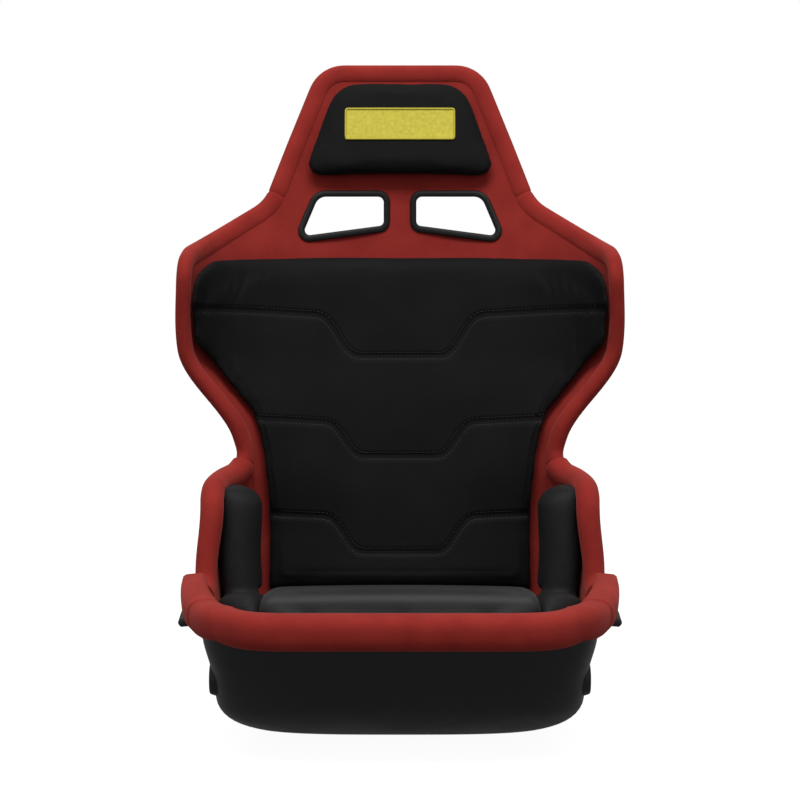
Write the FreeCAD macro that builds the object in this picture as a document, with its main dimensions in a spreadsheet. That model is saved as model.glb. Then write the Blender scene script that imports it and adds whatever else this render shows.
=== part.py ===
import FreeCAD, Part
import math
import os

# Racing bucket seat: a glass-fibre shell with a flocked lining, padded rim rolls, removable cushions,
# belt slots with moulded bezels and threaded side mounts.
# Axes: the seat faces -Y, +X is to the right seen from the front, +Z is up. Origin: on the underside.

V = FreeCAD.Vector
doc = FreeCAD.newDocument("racing_seat")

# Driving dimensions, in millimetres and degrees
DIMENSIONS = [
    ("wall", 5.0),
    ("lining", 2.5),
    ("trim_layer", 2.5),
    ("recline", 12.5),
    ("back_foot_y", 123.4),
    ("side_depth", 195.0),
    ("hip_half_width", 247.5),
    ("shoulder_half_width", 295.0),
    ("tub_flare", 0.096),
    ("side_radius", 66.0),
    ("rear_radius", 62.0),
    ("front_flat_y", 66.0),
    ("front_reach", 208.0),
    ("front_rise", 160.0),
    ("rim_height", 862.0),
    ("lip_height", 160.0),
    ("thigh_height", 176.0),
    ("wing_foot_y", -15.0),
    ("wing_front_y", 10.0),
    ("wing_height", 298.0),
    ("waist_y", 140.0),
    ("waist_height", 315.0),
    ("shoulder_y", 95.0),
    ("shoulder_height", 594.0),
    ("neck_half_width", 182.0),
    ("neck_height", 674.0),
    ("head_half_width", 108.0),
    ("back_roll_radius", 10.0),
    ("wing_roll_radius", 16.0),
    ("lip_roll_size", 42.0),
    ("back_cushion_thickness", 27.0),
    ("headrest_thickness", 30.0),
    ("side_pad_thickness", 58.0),
    ("patch_width", 146.0),
    ("patch_height", 42.0),
    ("mount_pitch", 290.0),
    ("mount_middle_y", -55.0),
    ("mount_height", 94.0),
    ("mount_face_x", 235.0),
    ("thread_radius", 4.0),
    ("insert_radius", 8.0),
    ("insert_length", 14.0),
    ("flange_radius", 14.0),
    ("flange_thickness", 2.5),
    ("boss_radius", 18.0),
    ("strip_width", 25.0),
    ("strip_thickness", 2.0),
    ("seat_strip_length", 220.0),
    ("base_foam_height", 87.6),
]

sheet = doc.addObject("Spreadsheet::Sheet", "dimensions")
for row, (name, value) in enumerate(DIMENSIONS, start=1):
    sheet.set(f"A{row}", name)
    sheet.set(f"B{row}", str(value))
    sheet.setAlias(f"B{row}", name)
doc.recompute()


def size(name):
    """A driving dimension as a plain number."""
    value = sheet.get(name)
    return float(getattr(value, "Value", value))


WALL = size("wall")
LINING = size("lining")
LAYER = size("trim_layer")
RECLINE = math.radians(size("recline"))
LEAN = math.tan(RECLINE)
BACK_FOOT = size("back_foot_y")
SIDE_DEPTH = size("side_depth")
HIP = size("hip_half_width")
SHOULDER = size("shoulder_half_width")
TUB_FLARE = size("tub_flare")
SIDE_RADIUS = size("side_radius")
REAR_RADIUS = size("rear_radius")
FRONT_FLAT = size("front_flat_y")
FRONT_REACH = size("front_reach")
FRONT_RISE = size("front_rise")
LIP_HEIGHT = size("lip_height")
CLEAR = 0.4
FAR = 420.0
TALL = 1000.0

# The moulded surface.
# Every level section of the shell is one closed curve: a superellipse whose front half closes the tub
# and whose rear half is the back. The hips flare gently up to FLARE_TOP, and the back widens from
# WAIST_START over WAIST_RISE. "inset" moves the whole surface inwards from the shell's inner face.
FRONT_POWER = 8.0
FLOOR_FRONT_POWER, FRONT_POWER_RISE = 2.6, 60.0
HIP_POWER, BACK_POWER, HEAD_POWER = 4.2, 2.6, 3.4
FLARE_TOP = 290.0
WAIST_START, WAIST_RISE = 355.0, 135.0


def smooth(share):
    """0 to 1 with level ends."""
    share = min(max(share, 0.0), 1.0)
    return share * share * (3 - 2 * share)


def level_section(z, inset):
    """Half width, side y, rear y, front y and the rear half's exponent of the section at height z."""
    floor = WALL + inset
    rise = z - floor
    half = HIP - TUB_FLARE * max(0.0, FLARE_TOP - z) - inset
    half += (SHOULDER - HIP) * smooth((z - WAIST_START) / WAIST_RISE)
    radius = SIDE_RADIUS - inset
    if rise < radius:
        half += math.sqrt(max(0.0, radius ** 2 - (radius - rise) ** 2)) - radius
    plane = BACK_FOOT - inset / math.cos(RECLINE)
    rear = plane + LEAN * z
    radius = REAR_RADIUS - inset
    tangent = radius * (1 - math.sin(RECLINE))
    if rise < tangent:
        arc_middle = plane + LEAN * (floor + tangent) - radius * math.cos(RECLINE)
        rear = arc_middle + math.sqrt(max(0.0, radius ** 2 - (radius - rise) ** 2))
    side = BACK_FOOT + LEAN * max(z, REAR_RADIUS) - SIDE_DEPTH
    share = min(rise / (FRONT_RISE - inset), 1.0)
    bulge = math.sqrt(max(0.0, 1 - (1 - share) ** 2))
    front = -FRONT_FLAT - (FRONT_REACH - inset) * bulge
    power = HIP_POWER + (BACK_POWER - HIP_POWER) * smooth((z - 150.0) / 180.0)
    power += (HEAD_POWER - BACK_POWER) * smooth((z - 600.0) / 100.0)
    return half, side, rear, front, power


def wall_y(x, z, inset):
    """Where the back stands at this x and height."""
    half, side, rear, front, power = level_section(z, inset)
    share = min(abs(x) / half, 1.0)
    return side + (rear - side) * (1 - share ** power) ** (1 / power)


def wall_x(y, z, inset):
    """How far out the side wall stands at this y and height."""
    half, side, rear, front, power = level_section(z, inset)
    if y >= side:
        share = min((y - side) / (rear - side), 1.0)
        return half * (1 - share ** power) ** (1 / power)
    share = min((side - y) / (side - front), 1.0)
    return half * (1 - share ** FRONT_POWER) ** (1 / FRONT_POWER)


def inwards(point):
    """Unit normal of the shell's middle surface at a point on it, pointing inside."""
    def level(x, y, z):
        half, side, rear, front, power = level_section(z, -WALL / 2)
        depth = rear - side
        if y < side:
            depth = side - front
            power = FRONT_POWER
        return (abs(x) / half) ** power + (abs(y - side) / depth) ** power

    step = 0.5
    slope = V(level(point.x + step, point.y, point.z) - level(point.x - step, point.y, point.z),
              level(point.x, point.y + step, point.z) - level(point.x, point.y - step, point.z),
              level(point.x, point.y, point.z + step) - level(point.x, point.y, point.z - step))
    return (slope * -1).normalize()


def skin(rings):
    """A solid between plane rings of equally many points, faced with flat triangles that follow the form."""
    faces = [Part.Face(Part.makePolygon(ring + [ring[0]])) for ring in (rings[0], rings[-1])]
    for lower, upper in zip(rings, rings[1:]):
        for index, corner in enumerate(lower):
            after, above = lower[index - 1], upper[index]
            across = upper[index - 1]
            faces.append(Part.Face(Part.makePolygon([corner, after, above, corner])))
            faces.append(Part.Face(Part.makePolygon([after, across, above, after])))
    solid = Part.Solid(Part.makeShell(faces))
    if solid.Volume < 0:
        solid.reverse()
    return solid


# Heights of the level sections: above the floor round the bottom edge, and then above the underside
SECTION_RISES = [0, 3, 10, 22, 40, 64, 92]
SECTION_LEVELS = [130, 175, 225, 290, 350, 380, 410, 440, 470, 500, 560, 620, 680, 750, 880]
REAR_POINTS, FRONT_POINTS = 20, 12


def level_ring(z, inset):
    """The section at one height, with its points closest together in the corners."""
    half, side, rear, front, power = level_section(z, inset)
    share = smooth((z - WALL - inset) / FRONT_POWER_RISE)
    front_power = FLOOR_FRONT_POWER + (FRONT_POWER - FLOOR_FRONT_POWER) * share
    points = []
    for count, depth, exponent in ((REAR_POINTS, rear - side, power), (FRONT_POINTS, front - side, front_power)):
        for index in range(count):
            angle = math.pi * index / count
            across = math.copysign(abs(math.cos(angle)) ** (2 / exponent), math.cos(angle))
            along = math.sin(angle) ** (2 / exponent)
            if depth < 0:
                across = -across
            points.append(V(half * across, side + depth * along, z))
    return points


def moulding(inset):
    """The solid enclosed by the moulded surface, moved inwards by inset. A smaller one is a little taller."""
    levels = [WALL + inset + rise for rise in SECTION_RISES] + SECTION_LEVELS
    levels[-1] += inset
    return skin([level_ring(z, inset) for z in levels])


# Outlines with rounded corners, in any plane

def rounded(corners, radii, place, step=15.0):
    """A closed wire through a plane outline's corners, each rounded by short chords of a given turn."""
    points = []
    for index, corner in enumerate(corners):
        before, after = corners[index - 1], corners[(index + 1) % len(corners)]
        middle = V(corner[0], corner[1], 0)
        u = (V(before[0], before[1], 0) - middle).normalize()
        w = (V(after[0], after[1], 0) - middle).normalize()
        half_angle = math.acos(max(-1.0, min(1.0, u.dot(w)))) / 2
        radius = radii[index]
        if radius == 0 or half_angle > math.pi / 2 - 1e-4:
            points.append(place(middle))
            continue
        centre = middle + (u + w).normalize() * (radius / math.sin(half_angle))
        start = middle + u * (radius / math.tan(half_angle)) - centre
        end = middle + w * (radius / math.tan(half_angle)) - centre
        turn = start.getAngle(end)
        chords = max(2, math.ceil(math.degrees(turn) / step))
        for chord in range(chords + 1):
            share = turn * chord / chords
            points.append(place(centre + start * (math.sin(turn - share) / math.sin(turn))
                                + end * (math.sin(share) / math.sin(turn))))
    return Part.makePolygon(points + [points[0]])


def offset_outline(corners, distance):
    """The same closed outline moved outwards by a distance."""
    area = sum(a[0] * b[1] - b[0] * a[1] for a, b in zip(corners, corners[1:] + corners[:1]))
    turn = 1 if area > 0 else -1
    moved = []
    count = len(corners)
    for index, corner in enumerate(corners):
        outwards = []
        for start, end in ((corners[index - 1], corner), (corner, corners[(index + 1) % count])):
            along = V(end[0] - start[0], end[1] - start[1], 0).normalize()
            outwards.append(V(along.y, -along.x, 0) * turn)
        bisector = (outwards[0] + outwards[1]).normalize()
        reach = distance / bisector.dot(outwards[0])
        moved.append((corner[0] + bisector.x * reach, corner[1] + bisector.y * reach))
    return moved


def side_view(x):
    return lambda point: V(x, point.x, point.y)


def front_view(y):
    return lambda point: V(point.x, y, point.y)


def prism(wire, direction):
    return Part.Face(wire).extrude(direction)


def block(x_range, y_range, z_range):
    low = V(x_range[0], y_range[0], z_range[0])
    return Part.makeBox(x_range[1] - x_range[0], y_range[1] - y_range[0], z_range[1] - z_range[0], low)


# The rim seen from the side: lip, thigh, hip wing, waist, shoulder wing and the way round it
SIDE_RIM = [
    (-FAR, LIP_HEIGHT),
    (-205.0, LIP_HEIGHT),
    (size("wing_foot_y"), size("thigh_height")),
    (size("wing_front_y"), size("wing_height")),
    (size("waist_y"), size("waist_height")),
    (size("shoulder_y"), size("shoulder_height")),
    (216.0, 648.0),
    (216.0, TALL),
    (FAR, TALL),
    (FAR, -FAR),
    (-FAR, -FAR),
]
SIDE_RIM_RADII = [0, 250.0, 28.0, 45.0, 34.0, 30.0, 20.0, 0, 0, 0, 0]

# The rim seen from the front: shoulder slope, neck and head, then mirrored
RIGHT_RIM = [
    (340.0, 576.0),
    (size("neck_half_width"), size("neck_height")),
    (150.0, 757.0),
    (size("head_half_width"), size("rim_height")),
]
RIGHT_RIM_RADII = [0, 60.0, 150.0, 42.0]
FRONT_RIM = RIGHT_RIM + [(-x, z) for x, z in reversed(RIGHT_RIM)] + [(-340.0, -FAR), (340.0, -FAR)]
FRONT_RIM_RADII = RIGHT_RIM_RADII + list(reversed(RIGHT_RIM_RADII)) + [0, 0]


def rim_zone(side_inset, front_inset):
    """The space behind the rim line in side view and below it in front view."""
    side_wire = rounded(offset_outline(SIDE_RIM, -side_inset), SIDE_RIM_RADII, side_view(-FAR))
    front_wire = rounded(offset_outline(FRONT_RIM, -front_inset), FRONT_RIM_RADII, front_view(-FAR))
    return prism(side_wire, V(2 * FAR, 0, 0)).common(prism(front_wire, V(0, 2 * FAR, 0)))


pieces = {}


def keep(name, shape):
    """Put a finished shape in the document as a piece of its own."""
    if shape.ShapeType == "Compound" and len(shape.Solids) == 1:
        shape = shape.Solids[0]
    piece = doc.addObject("Part::Feature", name)
    piece.Label = name
    piece.Shape = shape
    piece.Placement = FreeCAD.Placement(V(0, 0, 0), FreeCAD.Rotation(0, 0, 0, 1))
    pieces[name] = piece


SIDES = (("left", -1), ("right", 1))


def mirrored(shape, side):
    """A right-hand piece for its own side of the seat."""
    return shape if side > 0 else shape.mirror(V(0, 0, 0), V(1, 0, 0))


# Belt slots: two for the shoulder belts through the back, two for the lap belt through the hips
SHOULDER_SLOT = [(23.0, 646.0), (23.0, 686.0), (115.0, 686.0), (138.0, 631.0)]
SHOULDER_SLOT_RADII = [7.0, 8.0, 16.0, 7.0]
LAP_SLOT = [(37.0, 127.0), (113.0, 127.0), (113.0, 155.0), (37.0, 155.0)]
LAP_SLOT_RADIUS = 11.0
SLEEVE = 2.2
BEZEL_RING = 9.0
SLOT_STEP = 30.0


def shoulder_slot(grow):
    radii = [radius + grow for radius in SHOULDER_SLOT_RADII]
    outline = offset_outline(SHOULDER_SLOT, grow)
    return prism(rounded(outline, radii, front_view(0), SLOT_STEP), V(0, FAR, 0))


def lap_slot(grow):
    radii = [LAP_SLOT_RADIUS + grow] * 4
    outline = offset_outline(LAP_SLOT, grow)
    return prism(rounded(outline, radii, side_view(100.0), SLOT_STEP), V(FAR, 0, 0))


# Shell: one moulding with a flat underside, trimmed along the rim, with a flat boss for each side mount
outer_form = moulding(-WALL)
inner_form = moulding(0.0)
lining_form = moulding(LINING)
layer_form = moulding(LINING + LAYER)
behind_form = moulding(-WALL - LAYER)

MOUNT_Z = size("mount_height")
MOUNT_FACE = size("mount_face_x")
MOUNTS = (("front", -1), ("rear", 1))
BOSS_RADIUS = size("boss_radius")
BOSS_DEPTH = 30.0
BOSS_SIDES = 24
POCKET = size("insert_length")
POCKET_CLEAR = 0.1
SLOT_CLEAR = 0.2


def mount_y(end):
    return size("mount_middle_y") + end * size("mount_pitch") / 2


def tapered(face, depth, radius, root_radius):
    """A boss that ends in a round face and widens towards its root, its side in flat facets."""
    rings = []
    for reach, width in ((depth, root_radius), (0.0, radius)):
        turns = [2 * math.pi * index / BOSS_SIDES for index in range(BOSS_SIDES)]
        rings.append([face + V(-reach, width * math.cos(turn), width * math.sin(turn)) for turn in turns])
    return skin(rings)


shell_zone = rim_zone(0.0, 0.0)
for label, side in SIDES:
    shell_zone = shell_zone.cut(mirrored(shoulder_slot(SLEEVE), side)).cut(mirrored(lap_slot(SLEEVE), side))
shell = shell_zone.common(outer_form).cut(inner_form)
OUTWARDS = V(1, 0, 0)
boss_clearance = []
for name, end in MOUNTS:
    face = V(MOUNT_FACE, mount_y(end), MOUNT_Z)
    boss = tapered(face, BOSS_DEPTH, BOSS_RADIUS, BOSS_RADIUS + 3.0).cut(inner_form)
    boss = boss.fuse(tapered(face, POCKET + 2.0, BOSS_RADIUS - 4.0, BOSS_RADIUS - 4.0))
    pocket = Part.makeCylinder(size("insert_radius") + POCKET_CLEAR, POCKET + POCKET_CLEAR,
                               face - OUTWARDS * (POCKET + POCKET_CLEAR), OUTWARDS)
    recess_depth = size("flange_thickness") + POCKET_CLEAR
    recess = Part.makeCylinder(size("flange_radius") + POCKET_CLEAR, recess_depth,
                               face - OUTWARDS * recess_depth, OUTWARDS)
    for label, side in SIDES:
        shell = shell.fuse(mirrored(boss, side)).cut(mirrored(recess.fuse(pocket), side))
        room = tapered(face, POCKET + 3.0, BOSS_RADIUS - 3.0, BOSS_RADIUS - 3.0)
        boss_clearance.append(mirrored(room, side))
keep("shell", shell)


# Side mounts: threaded steel inserts with a flange, bonded into the bosses
def bound(kind, name, expressions):
    """A primitive whose sizes and place follow the dimension sheet."""
    item = doc.addObject(kind, name)
    for target, expression in expressions.items():
        item.setExpression(target, expression)
    return item


def turned(name, radius, length, side, end):
    """A bound cylinder along X, from a mount's face into its boss."""
    item = bound("Part::Cylinder", name, {
        "Radius": radius,
        "Height": length,
        "Placement.Base.x": f"{side} * dimensions.mount_face_x",
        "Placement.Base.y": f"dimensions.mount_middle_y + {end} * dimensions.mount_pitch / 2",
        "Placement.Base.z": "dimensions.mount_height",
    })
    item.Placement.Rotation = FreeCAD.Rotation(V(0, 1, 0), -90 * side)
    return item


inserts = []
for label, side in SIDES:
    for place, end in MOUNTS:
        stem = f"mount_insert_{place}_{label}"
        flange = turned(stem + "_flange", "dimensions.flange_radius", "dimensions.flange_thickness", side, end)
        barrel = turned(stem + "_barrel", "dimensions.insert_radius", "dimensions.insert_length", side, end)
        thread = turned(stem + "_thread", "dimensions.thread_radius", "dimensions.insert_length", side, end)
        blank = doc.addObject("Part::Fuse", stem + "_blank")
        blank.Base, blank.Tool = flange, barrel
        insert = doc.addObject("Part::Cut", stem)
        insert.Base, insert.Tool = blank, thread
        inserts.append(insert)
mount_inserts = doc.addObject("Part::Compound", "mount_inserts")
mount_inserts.Links = inserts
pieces["mount_inserts"] = mount_inserts

# Lining: flock on a thin felt, one sheet on the back and one on each hip, with a seam between them
ROLL_COVER = 18.0
SEAM_X, SEAM_Z = 200.0, 336.0
lining_zone = rim_zone(ROLL_COVER, ROLL_COVER - 2.0)
centre_zone = block((-SEAM_X, SEAM_X), (0.0, FAR), (110.0, SEAM_Z)).fuse(
    block((-FAR, FAR), (-FAR, FAR), (SEAM_Z, TALL))).removeSplitter()
back_zone = lining_zone.common(centre_zone)
for label, side in SIDES:
    back_zone = back_zone.cut(mirrored(shoulder_slot(SLEEVE), side))
keep("back_lining", back_zone.common(inner_form).cut(lining_form))
hip_zone = block((SEAM_X + CLEAR, FAR), (-150.0, FAR), (LIP_HEIGHT - 60.0, SEAM_Z - CLEAR))
hip_zone = hip_zone.common(lining_zone).cut(lap_slot(SLEEVE))
hip_lining = hip_zone.common(inner_form).cut(lining_form)
for label, side in SIDES:
    keep("hip_lining_" + label, mirrored(hip_lining, side))

# Bezels: a flange on the lining with a sleeve through the wall, and a ring that closes it behind
for name, slot in (("shoulder", shoulder_slot), ("lap", lap_slot)):
    opening = slot(0.0)
    rim_tube = slot(BEZEL_RING).cut(opening)
    sleeve_tube = slot(SLEEVE - SLOT_CLEAR).cut(opening)
    flange = rim_tube.common(lining_form).cut(layer_form)
    sleeve = sleeve_tube.common(outer_form).cut(lining_form)
    backing = rim_tube.common(behind_form).cut(outer_form)
    for label, side in SIDES:
        keep(name + "_bezel_" + label, mirrored(flange.fuse(sleeve), side))
        keep(name + "_bezel_ring_" + label, mirrored(backing, side))


# Rim path on the middle of the wall, from the front centre round the right side to the head's centre
def rim_points():
    middle = -WALL / 2
    side_wire = rounded(SIDE_RIM, SIDE_RIM_RADII, side_view(0))
    front_wire = rounded(FRONT_RIM, FRONT_RIM_RADII, front_view(0))
    side_face, front_face = Part.Face(side_wire), Part.Face(front_wire)
    half, side, rear, front, power = level_section(LIP_HEIGHT, middle)
    points = []
    for index in range(400):
        angle = -math.pi / 2 * (1 - index / 400)
        across, along = math.cos(angle), -math.sin(angle)
        reach = (across ** FRONT_POWER + along ** FRONT_POWER) ** (-1 / FRONT_POWER)
        point = V(half * across * reach, side - (side - front) * along * reach, LIP_HEIGHT)
        if point.y < -215.0:
            points.append(point)
    for point in side_wire.discretize(Distance=2.0):
        if -213.0 < point.y < 212.0 and LIP_HEIGHT - 1 < point.z < 640.0:
            x = wall_x(point.y, point.z, middle)
            if front_face.isInside(V(x, 0, point.z), 0.1, True):
                points.append(V(x, point.y, point.z))
    for point in front_wire.discretize(Distance=2.0):
        if 0 <= point.x < 300.0 and point.z > 560.0:
            y = wall_y(point.x, point.z, middle)
            if side_face.isInside(V(0, y, point.z), 0.1, True):
                points.append(V(point.x, y, point.z))
    return points


def thin_out(points, spacing):
    """Every point that is at least a spacing away from the one kept before it."""
    kept = [points[0]]
    for point in points[1:]:
        if (point - kept[-1]).Length >= spacing:
            kept.append(point)
    return kept


rim_line = rim_points()
rim_line.append(V(0, wall_y(0, size("rim_height"), -WALL / 2), size("rim_height")))
rim_curve = Part.BSplineCurve()
rim_curve.interpolate(thin_out(rim_line, 9.0))
rim_edge = rim_curve.toShape()
RIM_LENGTH = rim_edge.Length


def rim_frame(distance):
    """Point, direction, inward normal and outward-in-surface direction at a distance along the rim."""
    parameter = rim_edge.getParameterByLength(min(max(distance, 0.0), RIM_LENGTH))
    point = rim_edge.valueAt(parameter)
    along = rim_edge.tangentAt(parameter)
    normal = inwards(point)
    normal = (normal - along * normal.dot(along)).normalize()
    return point, along, normal, along.cross(normal)


def distance_to(test):
    """The distance along the rim at which a test on the point first holds."""
    distance = 0.0
    while not test(rim_frame(distance)[0]):
        distance += 1.0
    return distance


def roll_ring(distance, profile):
    """A roll's section at a distance along the rim. Its shift and squareness may change from start to end."""
    radius, shifts, lift, powers, count, start, end = profile
    share = smooth((distance - start) / (end - start))
    shift = shifts[0] + (shifts[1] - shifts[0]) * share
    power = powers[0] + (powers[1] - powers[0]) * share
    point, along, normal, beyond = rim_frame(distance)
    points = []
    for index in range(count):
        angle = 2 * math.pi * (index + 0.5) / count
        across, out = math.cos(angle), math.sin(angle)
        reach = radius * (abs(across) ** power + abs(out) ** power) ** (-1 / power)
        points.append(point + normal * (shift + across * reach) + beyond * (lift + out * reach))
    return points


MOST_TURN = math.radians(12)
LONGEST_RUN = 60.0
wall_clearance = rim_zone(-CLEAR, -CLEAR).common(moulding(-WALL - CLEAR)).cut(moulding(CLEAR))


def roll_sections(start, end, profile):
    """Sections from one distance along the rim to another, closer together where the rim turns."""
    stations = [start]
    heading = rim_frame(start)[1]
    steps = round((end - start) / 3.0)
    for index in range(1, steps):
        distance = start + (end - start) * index / steps
        along = rim_frame(distance)[1]
        if along.getAngle(heading) > MOST_TURN or distance - stations[-1] > LONGEST_RUN:
            stations.append(distance)
            heading = along
    return [roll_ring(distance, profile) for distance in stations + [end]]


def across_middle(sections):
    """Sections that begin on the seat's middle plane, continued on its other side."""
    middle = [V(0, point.y, point.z) for point in sections[0]]
    others = [[V(-point.x, point.y, point.z) for point in section] for section in sections[:0:-1]]
    return others + [middle] + sections[1:]


def roll(sections):
    """A padded roll through its sections, with a slot that takes the wall's edge."""
    return skin(sections).cut(wall_clearance)


doc.recompute()
THIGH_START = distance_to(lambda p: p.y > -195.0)
WING_START = distance_to(lambda p: p.y > size("wing_foot_y") - 32.0)
WING_TOP = distance_to(lambda p: p.z > size("wing_height") - 12.0)
WAIST = distance_to(lambda p: p.y > size("waist_y") - 12.0)
NECK = distance_to(lambda p: p.z > size("neck_height") + 14.0)

LIP = size("lip_roll_size")
# Each profile: radius, shift off the wall, lift past its edge and squareness, each from start to end, and sides
LIP_PROFILE = (LIP / 2, (-12.0, -12.0), 6.0, (2.6, 2.6), 12, 0.0, THIGH_START)
THIGH_PROFILE = (LIP / 2, (-12.0, -12.0), 6.0, (2.6, 6.0), 12, THIGH_START, WING_START)
WING_PROFILE = (size("wing_roll_radius"), (-9.0, 0.0), 0.0, (2.0, 2.0), 10, WING_START, WING_TOP)
BACK_PROFILE = (size("back_roll_radius"), (0.0, 0.0), 0.0, (2.0, 2.0), 8, WAIST, NECK)

keep("front_roll", roll(across_middle(roll_sections(0.0, THIGH_START, LIP_PROFILE))))
head_sections = roll_sections(NECK, RIM_LENGTH, BACK_PROFILE)
keep("head_roll", roll(across_middle(head_sections[::-1])))
for name, start, end, profile in (("thigh_roll_", THIGH_START, WING_START, THIGH_PROFILE),
                                  ("wing_roll_", WING_START, WAIST, WING_PROFILE),
                                  ("back_roll_", WAIST, NECK, BACK_PROFILE)):
    right = roll(roll_sections(start + CLEAR, end, profile))
    for label, side in SIDES:
        keep(name + label, mirrored(right, side))


# Edge mouldings: a black strip under each thigh roll, standing a little proud of it
def edge_ring(distance):
    point, along, normal, beyond = rim_frame(distance)
    outline = [(-3.4, -27.0), (-3.4, -15.4), (-44.0, -15.4), (-46.0, -17.4), (-46.0, -25.0), (-44.0, -27.0)]
    return [point + normal * a + beyond * b for a, b in outline]


EDGE_START = distance_to(lambda p: p.y > -112.0)
edge_stations = [EDGE_START + (WING_START - EDGE_START) * index / 4 for index in range(5)]
edge_moulding = skin([edge_ring(distance) for distance in edge_stations])
for label, side in SIDES:
    keep("edge_moulding_" + label, mirrored(edge_moulding, side))

# Cushions: foam in a knitted cover, held by hook-and-loop strips on the lining
STANDOFF = LINING + LAYER + 1.2
CUSHION_POINTS = 16
CUSHION_POWER = 3.0


def laid_section(base, half_width, thickness, crown):
    """A cushion's section: a rounded strip on a base line, fuller in the middle by the crown.

    base(s) gives the point and the direction away from the wall at a distance s across the cushion.
    """
    points = []
    for index in range(CUSHION_POINTS):
        angle = 2 * math.pi * (index + 0.5) / CUSHION_POINTS
        across, away = math.cos(angle), math.sin(angle)
        reach = (abs(across) ** CUSHION_POWER + abs(away) ** CUSHION_POWER) ** (-1 / CUSHION_POWER)
        share = across * reach
        lift = thickness * (1 - crown * share ** 2) * (1 + away * reach) / 2
        point, direction = base(half_width * share)
        points.append(point + direction * lift)
    return points


def on_back(z, inset):
    """A base line across the back at one height."""
    def base(x):
        step = 0.5
        slope = (wall_y(x + step, z, inset) - wall_y(x - step, z, inset)) / (2 * step)
        return V(x, wall_y(x, z, inset), z), V(slope, -1, 0).normalize()
    return base


def end_round(z, low, high, low_radius, high_radius):
    """How much of its full size a cushion has at height z, near its rounded ends: 1 away from them."""
    share = 1.0
    if z < low + low_radius:
        share = math.sqrt(max(0.0, 1 - (1 - (z - low) / low_radius) ** 2))
    if z > high - high_radius:
        share = min(share, math.sqrt(max(0.0, 1 - (1 - (high - z) / high_radius) ** 2)))
    return share


BACK_CUSHION_LOW, BACK_CUSHION_HIGH = 150.0, 604.0
BACK_CUSHION_THICKNESS = size("back_cushion_thickness")


def back_cushion_half(z):
    waist, shoulder = 183.0, 276.0
    corner = 30.0 * (1 - end_round(z, BACK_CUSHION_LOW - 100, BACK_CUSHION_HIGH, 1.0, 34.0))
    return waist + (shoulder - waist) * smooth((z - 315.0) / 215.0) - corner


def back_cushion_section(z):
    share = end_round(z, BACK_CUSHION_LOW, BACK_CUSHION_HIGH, 14.0, 14.0)
    thickness = BACK_CUSHION_THICKNESS * (0.25 + 0.75 * share)
    return laid_section(on_back(z, STANDOFF), back_cushion_half(z), thickness, 0.3)


BACK_CUSHION_LEVELS = [150, 154, 163, 200, 250, 305, 350, 390, 430, 470, 510, 550, 575, 591, 600, 604]
back_cushion = skin([back_cushion_section(z) for z in BACK_CUSHION_LEVELS])

# Sewn channels: a stepped line, half of it given from the middle outwards as (x, rise)
CHANNEL_STEPS = [(0.0, 0.0), (56.0, 0.0), (74.0, 12.0), (84.0, 32.0), (98.0, 45.0), (118.0, 52.0)]
CHANNEL_HEIGHTS = [461.0, 322.0, 197.0]
CHANNEL_HALF_WIDTH = 4.5
CHANNEL_DEPTH = 3.5


def cushion_face(x, z):
    """A point on the back cushion's face, and the direction away from it."""
    point, direction = on_back(z, STANDOFF)(x)
    share = min(1.0, abs(x) / back_cushion_half(z))
    bulge = (1 - share ** CUSHION_POWER) ** (1 / CUSHION_POWER)
    lift = BACK_CUSHION_THICKNESS * (1 - 0.3 * share ** 2) * (1 + bulge) / 2
    return point + direction * lift, direction


def channel(height):
    """A V-shaped cutter along a whole stepped line, its edge CHANNEL_DEPTH under the cushion's face."""
    steps = list(CHANNEL_STEPS)
    end_x = back_cushion_half(height + 60.0) + 4.0
    for index in (1, 2, 3):
        steps.append((118.0 + (end_x - 118.0) * index / 3, 52.0 + 5.0 * index))
    line = [(-x, rise) for x, rise in steps[:0:-1]] + steps
    path = [cushion_face(x, height + rise) for x, rise in line]
    rings = []
    for index, (point, direction) in enumerate(path):
        run = path[min(index + 1, len(path) - 1)][0] - path[max(index - 1, 0)][0]
        across = run.cross(direction).normalize() * (2 * CHANNEL_HALF_WIDTH)
        rise = direction * CHANNEL_DEPTH
        rings.append([point - rise, point + rise - across, point + rise + across])
    return skin(rings)


for height in CHANNEL_HEIGHTS:
    back_cushion = back_cushion.cut(channel(height))
keep("back_cushion", back_cushion)

HEADREST_LOW, HEADREST_HIGH = 714.0, 843.0


def headrest_form(thickness):
    def section(z):
        side_line = 140.0 - (z - HEADREST_LOW) * 0.285
        corner = 30.0 * (1 - end_round(z, HEADREST_LOW, HEADREST_HIGH, 26.0, 32.0))
        share = end_round(z, HEADREST_LOW, HEADREST_HIGH, 13.0, 13.0)
        return laid_section(on_back(z, STANDOFF), side_line - corner, thickness * (0.3 + 0.7 * share), 0.2)
    levels = [714, 717, 724, 740, 765, 800, 822, 835, 841, 843]
    return skin([section(z) for z in levels])


HEADREST = size("headrest_thickness")
headrest = headrest_form(HEADREST)
keep("headrest_pad", headrest)
PATCH_MIDDLE = 788.0
patch_half, patch_rise = size("patch_width") / 2, size("patch_height") / 2
patch_outline = [(-patch_half, PATCH_MIDDLE - patch_rise), (patch_half, PATCH_MIDDLE - patch_rise),
                 (patch_half, PATCH_MIDDLE + patch_rise), (-patch_half, PATCH_MIDDLE + patch_rise)]
patch_zone = prism(rounded(patch_outline, [4.0] * 4, front_view(-FAR)), V(0, 2 * FAR, 0))
keep("headrest_patch", patch_zone.common(headrest_form(HEADREST + 1.2)).cut(headrest))


# Side pads: upright bolsters on the hip linings
SIDE_PAD = size("side_pad_thickness")
SIDE_PAD_LOW, SIDE_PAD_HIGH = 160.0, 303.0


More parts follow.
